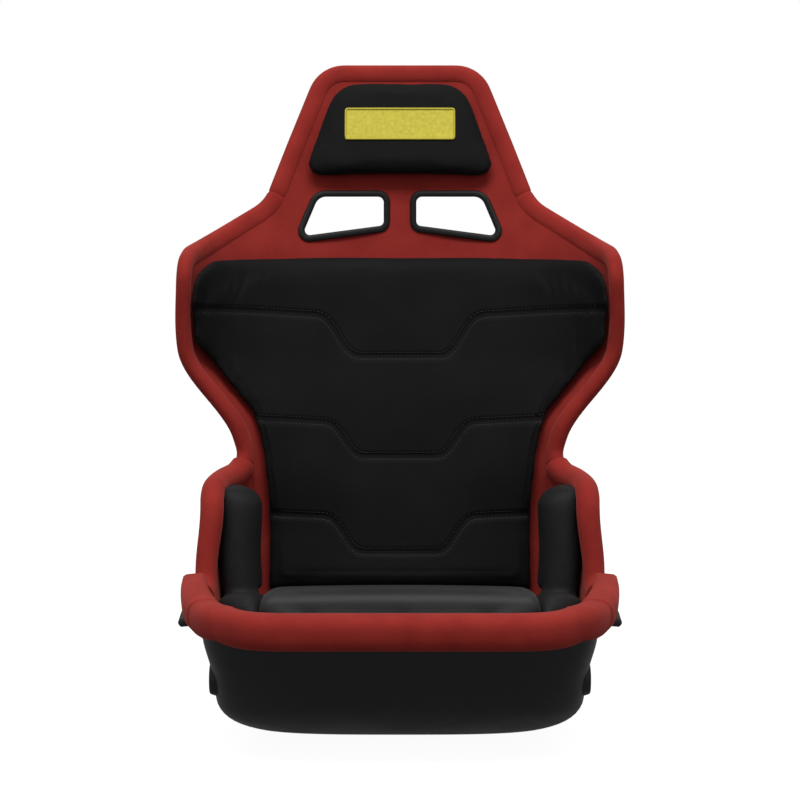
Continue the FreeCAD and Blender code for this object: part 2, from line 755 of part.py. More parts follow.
def side_pad_section(z):
    lean = (z - SIDE_PAD_LOW) / (SIDE_PAD_HIGH - SIDE_PAD_LOW)
    front_y, rear_y = -2.0 + 20.0 * lean, 88.0 + 10.0 * lean
    middle = (front_y + rear_y) / 2
    share = end_round(z, SIDE_PAD_LOW, SIDE_PAD_HIGH, 12.0, 26.0)

    def base(s):
        y = middle - s
        step = 0.5
        slope = (wall_x(y + step, z, STANDOFF) - wall_x(y - step, z, STANDOFF)) / (2 * step)
        return V(wall_x(y, z, STANDOFF), y, z), V(-1, slope, 0).normalize()

    return laid_section(base, (rear_y - front_y) / 2 * (0.5 + 0.5 * share), SIDE_PAD * (0.3 + 0.7 * share), 0.15)


side_pad_levels = [160, 163, 171, 200, 240, 277, 290, 298, 302, 303]
bolster = skin([side_pad_section(z) for z in side_pad_levels])
# The pad's foot runs forward along the thigh, beside the seat cushion, and ends under the front roll's corner
FOOT_INNER = 176.0
FOOT_FRONT, FOOT_REAR = -236.0, 26.0
FOOT_LOW, FOOT_HIGH = 118.0, 192.0


def foot_section(y):
    """An upright rounded section across the foot at one y, between the seat cushion and the wall."""
    share = end_round(y, FOOT_FRONT, FOOT_REAR, 30.0, 12.0)
    outer = wall_x(y, 180.0, LINING + 9.0)
    middle, half = (outer + FOOT_INNER) / 2, (outer - FOOT_INNER) / 2
    centre, reach_up = (FOOT_LOW + FOOT_HIGH) / 2, (FOOT_HIGH - FOOT_LOW) / 2
    points = []
    for index in range(12):
        angle = 2 * math.pi * (index + 0.5) / 12
        across, up = math.cos(angle), math.sin(angle)
        reach = (abs(across) ** 3.0 + abs(up) ** 3.0) ** (-1 / 3.0)
        points.append(V(middle + half * across * reach * (0.5 + 0.5 * share), y,
                        centre + reach_up * up * reach * (0.4 + 0.6 * share)))
    return points


foot = skin([foot_section(y) for y in (-236, -234, -228, -216, -190, -120, -50, 0, 16, 23, 26)])
side_pad = bolster.fuse(foot)
for label, side in SIDES:
    keep("side_pad_" + label, mirrored(side_pad, side))


# Seat cushion: between the side pads' feet, with a rolled nose behind the front roll
CUSHION_BASE = size("base_foam_height") + size("strip_thickness") + CLEAR
NOSE_Y, SEAT_REAR_Y = -262.0, 112.0
SEAT_POWER = 6.0


def seat_section(y):
    """A level strip across the seat at one y: half width and top height change along it."""
    nose = end_round(-y, -SEAT_REAR_Y, -NOSE_Y, 14.0, 44.0)
    half_width = 173.0 - 6.0 * (1 - nose)
    top = 150.0 + 66.0 * smooth((60.0 - y) / 270.0)
    middle = CUSHION_BASE + 36.0
    points = []
    for index in range(CUSHION_POINTS):
        angle = 2 * math.pi * (index + 0.5) / CUSHION_POINTS
        across, up = math.cos(angle), math.sin(angle)
        reach = (abs(across) ** SEAT_POWER + abs(up) ** SEAT_POWER) ** (-1 / SEAT_POWER)
        share = across * reach
        rise = top - middle - 5.0 * share ** 2 if up > 0 else middle - CUSHION_BASE
        points.append(V(half_width * share, y, middle + up * reach * rise * (0.25 + 0.75 * nose)))
    return points


SEAT_STATIONS = [-262, -261, -257, -249, -236, -218, -185, -120, -50, 10, 60, 98, 109, 112]
seat_cushion = skin([seat_section(y) for y in SEAT_STATIONS])
# Its sides stay inside the tub, and further in where the rolls stand on the tub's edge
ROLL_ROOM = [(40, 3.0), (70, 3.0), (100, 3.0), (130, 8.0), (150, 11.0), (190, 11.0), (202, 4.0), (225, 4.0)]
seat_cushion = seat_cushion.common(skin([level_ring(z, inset) for z, inset in ROLL_ROOM]))
for room in boss_clearance:
    seat_cushion = seat_cushion.cut(room)
keep("seat_cushion", seat_cushion)

seat_base = block((-FAR, FAR), (-FAR, 90.0), (0.0, size("base_foam_height"))).common(moulding(0.6))
for room in boss_clearance:
    seat_base = seat_base.cut(room)
keep("seat_base_foam", seat_base)


# Hook-and-loop strips: on the lining behind the upright cushions, and on the base foam under the seat cushion
strip_low, strip_high = LINING + CLEAR, LINING + CLEAR + size("strip_thickness")
strip_layer = moulding(strip_low).cut(moulding(strip_high))
STRIP = size("strip_width")
back_strips = Part.makeCompound([
    mirrored(block((50.0, 50.0 + STRIP), (0.0, FAR), (190.0, 560.0)), side) for label, side in SIDES])
keep("back_cushion_strips", back_strips.common(strip_layer))
keep("headrest_strip", block((-80.0, 80.0), (0.0, FAR), (765.0, 765.0 + STRIP)).common(strip_layer))
side_strip = block((150.0, FAR), (35.0, 35.0 + STRIP), (185.0, 280.0)).common(strip_layer)
for label, side in SIDES:
    keep("side_pad_strip_" + label, mirrored(side_strip, side))
seat_strips = doc.addObject("Part::Compound", "seat_cushion_strips")
seat_strips.Links = [bound("Part::Box", "seat_cushion_strip_" + label, {
    "Length": "dimensions.strip_width",
    "Width": "dimensions.seat_strip_length",
    "Height": "dimensions.strip_thickness",
    "Placement.Base.x": f"{side} * 90 - dimensions.strip_width / 2",
    "Placement.Base.y": "-50 - dimensions.seat_strip_length / 2",
    "Placement.Base.z": "dimensions.base_foam_height + 0.2",
}) for label, side in SIDES]
pieces["seat_cushion_strips"] = seat_strips

doc.recompute()
for item in doc.Objects:
    if "Invalid" in item.State or "Error" in item.State:
        raise RuntimeError(item.Name + " didn't recompute")
for name, piece in pieces.items():
    if piece.Shape.isNull() or not piece.Shape.isValid():
        raise RuntimeError(name + " isn't a sound solid")
os.makedirs("parts", exist_ok=True)
for name, piece in pieces.items():
    piece.Shape.exportStep("parts/" + name + ".step")
    print(name, len(piece.Shape.Solids), round(piece.Shape.Volume / 1000, 1))
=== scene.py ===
import math
import bpy
import numpy as np
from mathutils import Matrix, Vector
from mathutils.bvhtree import BVHTree


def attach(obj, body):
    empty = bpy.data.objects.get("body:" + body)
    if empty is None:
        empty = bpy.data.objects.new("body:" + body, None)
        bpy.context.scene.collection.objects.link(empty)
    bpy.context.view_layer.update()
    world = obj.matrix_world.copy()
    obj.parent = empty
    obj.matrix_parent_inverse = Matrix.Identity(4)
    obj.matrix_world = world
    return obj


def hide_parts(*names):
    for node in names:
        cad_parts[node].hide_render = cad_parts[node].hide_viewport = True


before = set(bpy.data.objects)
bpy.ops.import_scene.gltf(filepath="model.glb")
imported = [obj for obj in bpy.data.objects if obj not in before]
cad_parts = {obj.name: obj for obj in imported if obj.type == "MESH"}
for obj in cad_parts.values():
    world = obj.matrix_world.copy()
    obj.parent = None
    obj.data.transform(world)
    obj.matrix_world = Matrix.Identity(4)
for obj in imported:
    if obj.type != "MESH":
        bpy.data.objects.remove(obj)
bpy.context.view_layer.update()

# Stage: a pale floor, a white background, soft light from above, in front and behind, and the photograph's camera.
# The background is full white to the camera alone, so that it doesn't light the seat flatly. The floor glows for
# the camera, and a little in reflections, so that it reads as white and still takes the seat's shadow.
FLOOR_HALF, FLOOR_LEVEL, FLOOR_GREY = 9.0, -0.0005, 0.11
FLOOR_GLOW, REFLECTED_GLOW, AMBIENT = 0.95, 0.15, 0.5225
WHITE = (1, 1, 1, 1)
floor_corners = [(-FLOOR_HALF, -FLOOR_HALF, FLOOR_LEVEL), (FLOOR_HALF, -FLOOR_HALF, FLOOR_LEVEL),
                 (FLOOR_HALF, FLOOR_HALF, FLOOR_LEVEL), (-FLOOR_HALF, FLOOR_HALF, FLOOR_LEVEL)]
floor_mesh = bpy.data.meshes.new("floor")
floor_mesh.from_pydata(floor_corners, [], [(0, 1, 2, 3)])
floor = bpy.data.objects.new("floor", floor_mesh)
bpy.context.collection.objects.link(floor)
floor_paint = bpy.data.materials.new("floor_paint")
floor_paint.use_nodes = True
tree = floor_paint.node_tree
floor_bsdf = tree.nodes["Principled BSDF"]
floor_bsdf.inputs["Base Color"].default_value = (FLOOR_GREY, FLOOR_GREY, FLOOR_GREY, 1)
floor_bsdf.inputs["Roughness"].default_value = 0.9
floor_bsdf.inputs["Emission Color"].default_value = WHITE
light_path = tree.nodes.new("ShaderNodeLightPath")
glow_share = tree.nodes.new("ShaderNodeMath")
glow_share.operation = "MULTIPLY_ADD"
glow_share.inputs[1].default_value = REFLECTED_GLOW
glow = tree.nodes.new("ShaderNodeMath")
glow.operation = "MULTIPLY"
glow.inputs[1].default_value = FLOOR_GLOW
tree.links.new(light_path.outputs["Is Glossy Ray"], glow_share.inputs[0])
tree.links.new(light_path.outputs["Is Camera Ray"], glow_share.inputs[2])
tree.links.new(glow_share.outputs[0], glow.inputs[0])
tree.links.new(glow.outputs[0], floor_bsdf.inputs["Emission Strength"])
floor_mesh.materials.append(floor_paint)

world = bpy.data.worlds.new("studio")
bpy.context.scene.world = world
world.use_nodes = True
tree = world.node_tree
tree.nodes.clear()
light_path = tree.nodes.new("ShaderNodeLightPath")
seen = tree.nodes.new("ShaderNodeMath")
seen.operation = "MAXIMUM"
ambient = tree.nodes.new("ShaderNodeBackground")
ambient.inputs["Color"].default_value = WHITE
ambient.inputs["Strength"].default_value = AMBIENT
backdrop = tree.nodes.new("ShaderNodeBackground")
backdrop.inputs["Color"].default_value = WHITE
backdrop.inputs["Strength"].default_value = 1.0
pick = tree.nodes.new("ShaderNodeMixShader")
world_out = tree.nodes.new("ShaderNodeOutputWorld")
tree.links.new(light_path.outputs["Is Camera Ray"], seen.inputs[0])
tree.links.new(light_path.outputs["Is Transmission Ray"], seen.inputs[1])
tree.links.new(seen.outputs[0], pick.inputs[0])
tree.links.new(ambient.outputs[0], pick.inputs[1])
tree.links.new(backdrop.outputs[0], pick.inputs[2])
tree.links.new(pick.outputs[0], world_out.inputs[0])

# Name, place, size and power of each lamp, all aimed at the seat's middle
LIGHTS = [
    ("overhead", (0.0, -1.3, 3.4), (2.2, 1.2), 86.0),
    ("front", (0.0, -3.6, 1.2), (2.8, 0.8), 5.0),
    ("behind", (0.0, 2.6, 1.8), (2.6, 1.2), 14.0),
]
LIT_POINT = Vector((0, 0, 0.4))
for name, place, extent, power in LIGHTS:
    lamp = bpy.data.lights.new(name, "AREA")
    lamp.shape = "RECTANGLE"
    lamp.size, lamp.size_y = extent
    lamp.energy = power
    lamp_object = bpy.data.objects.new(name, lamp)
    lamp_object.location = place
    lamp_object.rotation_euler = (LIT_POINT - Vector(place)).to_track_quat("-Z", "Y").to_euler()
    bpy.context.collection.objects.link(lamp_object)

CAMERA_AIM, CAMERA_DISTANCE, CAMERA_RAISE = Vector((0, 0, 0.4224)), 3.168, math.radians(5.0)
camera_data = bpy.data.cameras.new("camera")
camera_data.lens = 109.1
camera_data.sensor_width = 36.0
camera_data.clip_end = 50.0
camera = bpy.data.objects.new("camera", camera_data)
camera.location = CAMERA_AIM + CAMERA_DISTANCE * Vector((0, -math.cos(CAMERA_RAISE), math.sin(CAMERA_RAISE)))
camera.rotation_euler = (CAMERA_AIM - camera.location).to_track_quat("-Z", "Y").to_euler()
bpy.context.collection.objects.link(camera)
bpy.context.scene.camera = camera
bpy.context.scene.view_settings.view_transform = "Standard"


# Shell: one glass-fibre moulding, black gel coat outside, 5 mm thick, with a flat underside and rounded tub.
# Its level sections are superellipses, in millimetres: the rear half is the back, and the front half closes the
# tub. The wall is trimmed along the rim and cut for the belts, and has a round boss at each side mount.
WALL, LINING = 5.0, 2.5
LEAN_ANGLE = math.radians(12.5)
LEAN = math.tan(LEAN_ANGLE)
BACK_FOOT, SIDE_DEPTH = 123.4, 195.0
HIP_HALF, HIP_LEVEL, TUB_TAPER = 247.5, 290.0, 0.096
SHOULDER_SWELL, WAIST_LEVEL = 51.5, 361.0
TOP_DRAW, CHEST_LEVEL, SWELL_RISE = 10.0, 480.0, 120.0
RIM_BAND = 6.5
SIDE_RADIUS, REAR_RADIUS = 66.0, 62.0
FRONT_FLAT, FRONT_REACH, LIP_LEVEL = 66.0, 208.0, 160.0
FRONT_POWER, FLOOR_POWER, FLOOR_EASE = 8.0, 3.0, 60.0
BACK_POWER, BACK_POWER_DROP, HEAD_POWER_RISE = 4.2, 1.6, 0.8


def smooth(share):
    """0 to 1 with level ends: 3 s squared less 2 s cubed, held at 0 and 1 outside."""
    share = np.clip(share, 0.0, 1.0)
    return share * share * (3 - 2 * share)


def level_section(z, inset):
    """Half width, side y, rear y, front y and rear exponent of the surface that lies inset inside the shell's
    inner face, at height z. The width tapers down from the hips, swells up to the shoulders, is drawn in a little
    above them, and stands out in a band under the rim. Below the corner radii the width and the rear follow a
    quarter circle, and the front follows a quarter ellipse up to the lip."""
    z = np.asarray(z, float)
    rise = z - WALL - inset
    half = HIP_HALF - TUB_TAPER * np.maximum(0.0, HIP_LEVEL - z) - inset
    half = (half + SHOULDER_SWELL * smooth((z - WAIST_LEVEL) / SWELL_RISE)
            - TOP_DRAW * smooth((z - CHEST_LEVEL) / SWELL_RISE))
    half = half + RIM_BAND * smooth((z - 100.0) / 50.0) * (1 - smooth((z - 200.0) / 90.0))
    radius = SIDE_RADIUS - inset
    arc = np.sqrt(np.maximum(0.0, radius ** 2 - (radius - rise) ** 2)) - radius
    half = half + np.where(rise < radius, arc, 0.0)
    plane = BACK_FOOT - inset / math.cos(LEAN_ANGLE)
    radius = REAR_RADIUS - inset
    tangent = radius * (1 - math.sin(LEAN_ANGLE))
    arc = plane + LEAN * (WALL + inset + tangent) - radius * math.cos(LEAN_ANGLE)
    arc = arc + np.sqrt(np.maximum(0.0, radius ** 2 - (radius - rise) ** 2))
    rear = np.where(rise < tangent, arc, plane + LEAN * z)
    side = BACK_FOOT + LEAN * np.maximum(z, REAR_RADIUS) - SIDE_DEPTH
    share = np.clip(rise / (LIP_LEVEL - inset), 0.0, 1.0)
    front = -FRONT_FLAT - (FRONT_REACH - inset) * np.sqrt(np.maximum(0.0, 1 - (1 - share) ** 2))
    power = BACK_POWER - BACK_POWER_DROP * smooth((z - 150.0) / 180.0) + HEAD_POWER_RISE * smooth((z - 600.0) / 100.0)
    return half, side, rear, front, power


def wall_y(x, z, inset):
    """The back's y at x: the superellipse |x / half|^p + |(y - side) / depth|^p = 1 solved for y."""
    half, side, rear, front, power = level_section(z, inset)
    share = np.minimum(np.abs(x) / half, 1.0)
    return side + (rear - side) * (1 - share ** power) ** (1 / power)


def wall_x(y, z, inset):
    """The side wall's x at y: the same superellipse solved for x, with the front's power ahead of the sides."""
    half, side, rear, front, power = level_section(z, inset)
    behind = np.clip((y - side) / (rear - side), 0.0, 1.0)
    ahead = np.clip((side - y) / (side - front), 0.0, 1.0)
    return half * np.where(np.asarray(y) >= side, (1 - behind ** power) ** (1 / power),
                           (1 - ahead ** FRONT_POWER) ** (1 / FRONT_POWER))


def squared(across, along, power):
    """How far a superellipse of radius 1 reaches in a direction (cos, sin): (|cos|^p + |sin|^p)^(-1/p)."""
    return (np.abs(across) ** power + np.abs(along) ** power) ** (-1 / power)


def level_rings(levels, inset, columns):
    """Rows of points round the moulded surface: each level's superellipse at evenly turned directions, squarer
    in front as it rises from the floor."""
    half, side, rear, front, power = (value[:, None] for value in level_section(levels, inset))
    angle = (np.arange(columns) + 0.5) * 2 * math.pi / columns
    across, along = np.cos(angle)[None, :], np.sin(angle)[None, :]
    rise = np.asarray(levels, float) - WALL - inset
    front_power = FLOOR_POWER + (FRONT_POWER - FLOOR_POWER) * smooth(rise / FLOOR_EASE)[:, None]
    reach = squared(across, along, np.where(along > 0, power, front_power))
    depth = np.where(along > 0, rear - side, side - front)
    x, y = half * across * reach, side + depth * along * reach
    return np.stack([x, y, np.broadcast_to(np.asarray(levels, float)[:, None], x.shape)], axis=-1)


def piece(name, points, faces):
    """A mesh object from points in millimetres."""
    mesh = bpy.data.meshes.new(name)
    mesh.from_pydata((np.asarray(points, float).reshape(-1, 3) * 0.001).tolist(), [], faces)
    mesh.shade_smooth()
    made = bpy.data.objects.new(name, mesh)
    bpy.context.collection.objects.link(made)
    return made


def quads(rows, columns, first=0, closed_rows=False):
    """Faces over rows of points, each row closed on itself: each point with the next in its row and in the row
    above. The last row may be closed on the first."""
    row, column = np.meshgrid(np.arange(rows if closed_rows else rows - 1), np.arange(columns), indexing="ij")
    after, above = (column + 1) % columns, (row + 1) % rows
    corners = [row * columns + column, row * columns + after, above * columns + after, above * columns + column]
    return (np.stack(corners, axis=-1).reshape(-1, 4) + first).tolist()


def outwards(made):
    """The closed piece with its faces turned outwards: its volume is then positive."""
    volume = sum(face.area * face.center.dot(face.normal) for face in made.data.polygons)
    if volume < 0:
        made.data.flip_normals()
    return made


def closed_form(name, rings):
    """A closed mesh over rows of points, its first and last rows each filled by one face."""
    rings = np.asarray(rings)
    rows, columns = rings.shape[:2]
    faces = quads(rows, columns)
    faces.append(list(range(columns))[::-1])
    faces.append([(rows - 1) * columns + index for index in range(columns)])
    return outwards(piece(name, rings, faces))


def settled(made):
    """The piece with its modifiers applied."""
    bpy.context.view_layer.update()
    depsgraph = bpy.context.evaluated_depsgraph_get()
    mesh = bpy.data.meshes.new_from_object(made.evaluated_get(depsgraph))
    made.modifiers.clear()
    made.data = mesh
    return made


def trimmed(made, operation, cutter):
    """The piece after a boolean with a cutter, which is used up."""
    modifier = made.modifiers.new("trim", "BOOLEAN")
    modifier.operation = operation
    modifier.object = cutter
    modifier.solver = "EXACT"
    settled(made)
    bpy.data.objects.remove(cutter)
    return made


def rounded(corners, radii, step=6.0):
    """A closed outline through corners, each rounded by an arc of its radius that touches both sides, in short
    chords of at most the given turn in degrees."""
    line = []
    for index, corner in enumerate(corners):
        middle = np.array(corner, float)
        u = np.array(corners[index - 1], float) - middle
        w = np.array(corners[(index + 1) % len(corners)], float) - middle
        u, w = u / np.linalg.norm(u), w / np.linalg.norm(w)
        half_angle = math.acos(max(-1.0, min(1.0, float(u @ w)))) / 2
        if radii[index] == 0 or half_angle > math.pi / 2 - 1e-4:
            line.append(middle)
            continue
        centre = middle + (u + w) / np.linalg.norm(u + w) * radii[index] / math.sin(half_angle)
        start = middle + u * radii[index] / math.tan(half_angle) - centre
        end = middle + w * radii[index] / math.tan(half_angle) - centre
        turn = math.pi - 2 * half_angle
        chords = max(2, math.ceil(math.degrees(turn) / step))
        share = turn * np.arange(chords + 1)[:, None] / chords
        line.extend(centre + (start * np.sin(turn - share) + end * np.sin(share)) / math.sin(turn))
    return np.array(line)


def grown(corners, distance):
    """The same closed outline moved outwards: each corner goes along its bisector until both sides have moved by
    the distance."""
    points = np.array(corners, float)
    ahead = np.roll(points, -1, axis=0) - points
    ahead /= np.linalg.norm(ahead, axis=1)[:, None]
    area = np.sum(points[:, 0] * np.roll(points[:, 1], -1) - points[:, 1] * np.roll(points[:, 0], -1))
    outer = np.stack([ahead[:, 1], -ahead[:, 0]], axis=1) * np.sign(area)
    bisector = outer + np.roll(outer, 1, axis=0)
    bisector /= np.linalg.norm(bisector, axis=1)[:, None]
    return points + bisector * (distance / np.sum(bisector * outer, axis=1))[:, None]


def prism(name, outline, axis, low, high):
    """A closed prism over a plane outline (u, v), standing along X or Y."""
    rings = []
    for level in (low, high):
        fixed = np.full(len(outline), level)
        order = (fixed, outline[:, 0], outline[:, 1]) if axis == "X" else (outline[:, 0], fixed, outline[:, 1])
        rings.append(np.stack(order, axis=-1))
    return closed_form(name, rings)


# The rim line's corners and their radii, from the side as (y, z) and from the front as (x, z). The side line is
# closed far outside the seat.
SIDE_RIM = [(-420, 160), (-205, 160), (-15, 176), (10, 298), (140, 315), (95, 594), (216, 648), (216, 1000),
            (420, 1000), (420, -420), (-420, -420)]
SIDE_RIM_RADII = [0, 250, 28, 45, 34, 30, 20, 0, 0, 0, 0]
RIGHT_RIM = [(340, 576), (182, 674), (150, 757), (108, 862)]
RIGHT_RIM_RADII = [0, 60, 150, 42]
FRONT_RIM = RIGHT_RIM + [(-x, z) for x, z in RIGHT_RIM[::-1]] + [(-340, -420), (340, -420)]
FRONT_RIM_RADII = RIGHT_RIM_RADII + RIGHT_RIM_RADII[::-1] + [0, 0]


def rim_trimmed(made, inset):
    """The piece cut off at a distance inside the rim line, seen from the side and from the front."""
    side_line = rounded(grown(SIDE_RIM, -inset), SIDE_RIM_RADII)
    front_line = rounded(grown(FRONT_RIM, -inset), FRONT_RIM_RADII)
    trimmed(made, "INTERSECT", prism("side_trim", side_line, "X", -419.0, 419.0))
    return trimmed(made, "INTERSECT", prism("front_trim", front_line, "Y", -418.0, 418.0))


# Belt slots: corners as (x, z) at the shoulders and (y, z) at the lap, their radii, and the sleeves' thickness
SHOULDER_SLOT, SHOULDER_SLOT_RADII = [(23, 646), (23, 686), (115, 686), (138, 631)], [7, 8, 16, 7]
LAP_SLOT, LAP_SLOT_RADII = [(37, 127), (113, 127), (113, 155), (37, 155)], [11, 11, 11, 11]
SLEEVE, CUT_FROM, CUT_TO = 2.2, 150.0, 400.0


def belt_cut(made):
    """The piece with the four belt openings cut through it."""
    for side in (-1, 1):
        outline = rounded(grown(SHOULDER_SLOT, SLEEVE), [radius + SLEEVE for radius in SHOULDER_SLOT_RADII])
        outline = outline * np.array([side, 1.0])
        trimmed(made, "DIFFERENCE", prism("slot", outline, "Y", CUT_FROM, CUT_TO))
        outline = rounded(grown(LAP_SLOT, SLEEVE), [radius + SLEEVE for radius in LAP_SLOT_RADII])
        trimmed(made, "DIFFERENCE", prism("slot", outline, "X", *sorted((CUT_FROM * side, CUT_TO * side))))
    return made


quarter_turn = np.radians(np.arange(0, 91, 6.5))
upper_levels = np.arange(78.0, 892.0, 7.0)


def wall_levels(inset):
    """Heights from the floor to above the rim: close together where the side's corner radius starts."""
    corner_rises = SIDE_RADIUS * (1 - np.cos(quarter_turn))
    return np.concatenate([WALL + inset + corner_rises, upper_levels])


SHELL_COLUMNS = 176
outer_rings = level_rings(wall_levels(-WALL), -WALL, SHELL_COLUMNS)
inner_rings = level_rings(wall_levels(0.0), 0.0, SHELL_COLUMNS)
rings = np.concatenate([outer_rings, inner_rings[::-1]])
shell = closed_form("shell_moulding", rings)
rim_trimmed(shell, 0.0)
belt_cut(shell)


def turned(name, profile, centre, direction, sides=48):
    """A turned form about a line along X: each point (reach, radius) of its profile becomes a circle."""
    angle = np.arange(sides) * 2 * math.pi / sides
    rings = []
    for reach, radius in profile:
        rings.append(np.stack([np.full(sides, centre[0] + direction * reach),
                               centre[1] + radius * np.cos(angle) * direction,
                               centre[2] + radius * np.sin(angle)], axis=-1))
    return closed_form(name, rings)


def joined(name, parts):
    """One object from several."""
    with bpy.context.temp_override(active_object=parts[0], selected_editable_objects=parts, object=parts[0]):
        bpy.ops.object.join()
    parts[0].name = name
    return parts[0]


MOUNT_FACE, MOUNT_Z, MOUNT_YS = 235.0, 94.0, (-200.0, 90.0)
# A boss from the wall to its face, then the insert's flange recess and bore: (reach, radius)
BOSS_PROFILE = [(-30.0, 23.0), (-12.0, 21.5), (-6.0, 20.5), (-2.5, 19.4), (-0.8, 18.5), (0.0, 17.2), (0.0, 14.2),
                (-2.6, 14.1), (-2.6, 8.1), (-12.0, 8.1)]
bosses = [turned("boss", BOSS_PROFILE, (side * MOUNT_FACE, y, MOUNT_Z), side) for side in (-1, 1) for y in MOUNT_YS]
shell = joined("shell_moulding", [shell] + bosses)
shell.data.set_sharp_from_angle(angle=math.radians(38))


def node_material(name):
    """An empty node material with a Principled shader."""
    made = bpy.data.materials.new(name)
    made.use_nodes = True
    return made, made.node_tree, made.node_tree.nodes["Principled BSDF"]


def noise(tree, scale, detail=4.0):
    """A noise texture on object coordinates."""
    place = tree.nodes.new("ShaderNodeTexCoord")
    texture = tree.nodes.new("ShaderNodeTexNoise")
    texture.inputs["Scale"].default_value = scale
    texture.inputs["Detail"].default_value = detail
    tree.links.new(place.outputs["Object"], texture.inputs["Vector"])
    return texture.outputs["Fac"]


def vary(tree, shader, socket, value, low, high, first=0.3, last=0.7):
    """The shader's socket blended from low to high as the value goes from first to last."""
    made = tree.nodes.new("ShaderNodeValToRGB")
    made.color_ramp.elements[0].position, made.color_ramp.elements[1].position = first, last
    made.color_ramp.elements[0].color, made.color_ramp.elements[1].color = (*low, 1), (*high, 1)
    tree.links.new(value, made.inputs["Fac"])
    tree.links.new(made.outputs["Color"], shader.inputs[socket])


def bump(tree, shader, value, depth, strength, below=None):
    """Fine relief from a value, its depth in metres, over the relief below it if there is one."""
    made = tree.nodes.new("ShaderNodeBump")
    made.inputs["Strength"].default_value = strength
    made.inputs["Distance"].default_value = depth
    tree.links.new(value, made.inputs["Height"])
    if below:
        tree.links.new(below, made.inputs["Normal"])
    tree.links.new(made.outputs["Normal"], shader.inputs["Normal"])
    return made.outputs["Normal"]


gelcoat, tree, shader = node_material("black_gelcoat")
vary(tree, shader, "Base Color", noise(tree, 6.0), (0.0035, 0.0035, 0.0038), (0.0050, 0.0050, 0.0054))
vary(tree, shader, "Roughness", noise(tree, 18.0, 6.0), (0.36, 0.36, 0.36), (0.48, 0.48, 0.48))
shader.inputs["Specular IOR Level"].default_value = 0.35
bump(tree, shader, noise(tree, 160.0, 2.0), 0.0004, 0.25)
shell.data.materials.clear()
shell.data.materials.append(gelcoat)
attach(shell, "root")
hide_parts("shell")


# Mount inserts: zinc-plated steel with turned faces and an M8 thread, bonded in the bosses with their flanges in
# the recesses. The CAD solids are shown as they are.
zinc, tree, shader = node_material("zinc_plated_steel")
shader.inputs["Metallic"].default_value = 1.0
vary(tree, shader, "Base Color", noise(tree, 120.0), (0.50, 0.50, 0.48), (0.66, 0.66, 0.63))
vary(tree, shader, "Roughness", noise(tree, 400.0), (0.28, 0.28, 0.28), (0.42, 0.42, 0.42))
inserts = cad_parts["mount_inserts"]
inserts.data.materials.clear()
inserts.data.materials.append(zinc)


# Linings: red flock on thin felt, one sheet on the back and head and one on each hip, trimmed under the rolls.
# The flock is short and upright, so it is matte, with a soft bloom where it is seen at a low angle.
def velour(name, low, high, sheen):
    """Red pile: two sizes of relief, for fibres and for how they lie, and a colour that drifts with the lie."""
    made, tree, shader = node_material(name)
    pile = noise(tree, 26.0, 5.0)
    vary(tree, shader, "Base Color", pile, low, high, 0.35, 0.65)
    shader.inputs["Roughness"].default_value = 0.95
    shader.inputs["Specular IOR Level"].default_value = 0.15
    shader.inputs["Sheen Weight"].default_value = sheen
    shader.inputs["Sheen Roughness"].default_value = 0.45
    shader.inputs["Sheen Tint"].default_value = (0.9, 0.25, 0.2, 1)
    fibres = bump(tree, shader, noise(tree, 1400.0, 2.0), 0.0004, 0.5)
    bump(tree, shader, noise(tree, 90.0, 3.0), 0.0008, 0.25, fibres)
    return made


flock = velour("red_flock", (0.22, 0.018, 0.014), (0.26, 0.023, 0.018), 0.20)
GLUE, SEAM_GAP, ROLL_COVER = 0.05, 0.4, 5.0
SEAM_X, SEAM_Z, BACK_FOOT_Z, HIP_FOOT_Z = 200.0, 336.0, 112.0, 102.0
BEYOND, ABOVE, LINING_FRONT = 417.0, 890.0, -262.0
lining_rings = np.concatenate([level_rings(upper_levels, GLUE, SHELL_COLUMNS),
                               level_rings(upper_levels, LINING, SHELL_COLUMNS)[::-1]])
hip_x, hip_top = SEAM_X + SEAM_GAP, SEAM_Z - SEAM_GAP
hip_zone = np.array([(hip_x, HIP_FOOT_Z), (BEYOND, HIP_FOOT_Z), (BEYOND, hip_top), (hip_x, hip_top)])
# Each lining's part of the wall, seen from the front
zones = {
    "back_lining": np.array([(-SEAM_X, BACK_FOOT_Z), (SEAM_X, BACK_FOOT_Z), (SEAM_X, SEAM_Z), (BEYOND, SEAM_Z),
                             (BEYOND, ABOVE), (-BEYOND, ABOVE), (-BEYOND, SEAM_Z), (-SEAM_X, SEAM_Z)]),
    "hip_lining_left": hip_zone * np.array([-1.0, 1.0]),
    "hip_lining_right": hip_zone,
}
for node, outline in zones.items():
    lining = closed_form(node + "_flock", lining_rings)
    front_limit = 0.0 if node == "back_lining" else LINING_FRONT
    trimmed(lining, "INTERSECT", prism("zone", outline, "Y", front_limit, 416.0))
    rim_trimmed(lining, ROLL_COVER)
    belt_cut(lining)
    lining.data.set_sharp_from_angle(angle=math.radians(38))
    lining.data.materials.clear()
    lining.data.materials.append(flock)
    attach(lining, "root")
    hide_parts(node)


# Belt bezels: satin black mouldings, a domed flange on the lining with a sleeve through the wall, and behind
# the wall a ring that snaps on to the sleeve. Each follows its slot's outline and the wall's curve.
bezel_black, tree, shader = node_material("satin_black_plastic")
vary(tree, shader, "Base Color", noise(tree, 60.0), (0.0035, 0.0035, 0.0037), (0.0055, 0.0055, 0.0058))
shader.inputs["Roughness"].default_value = 0.45
shader.inputs["Specular IOR Level"].default_value = 0.16
bump(tree, shader, noise(tree, 900.0, 2.0), 0.0002, 0.3)
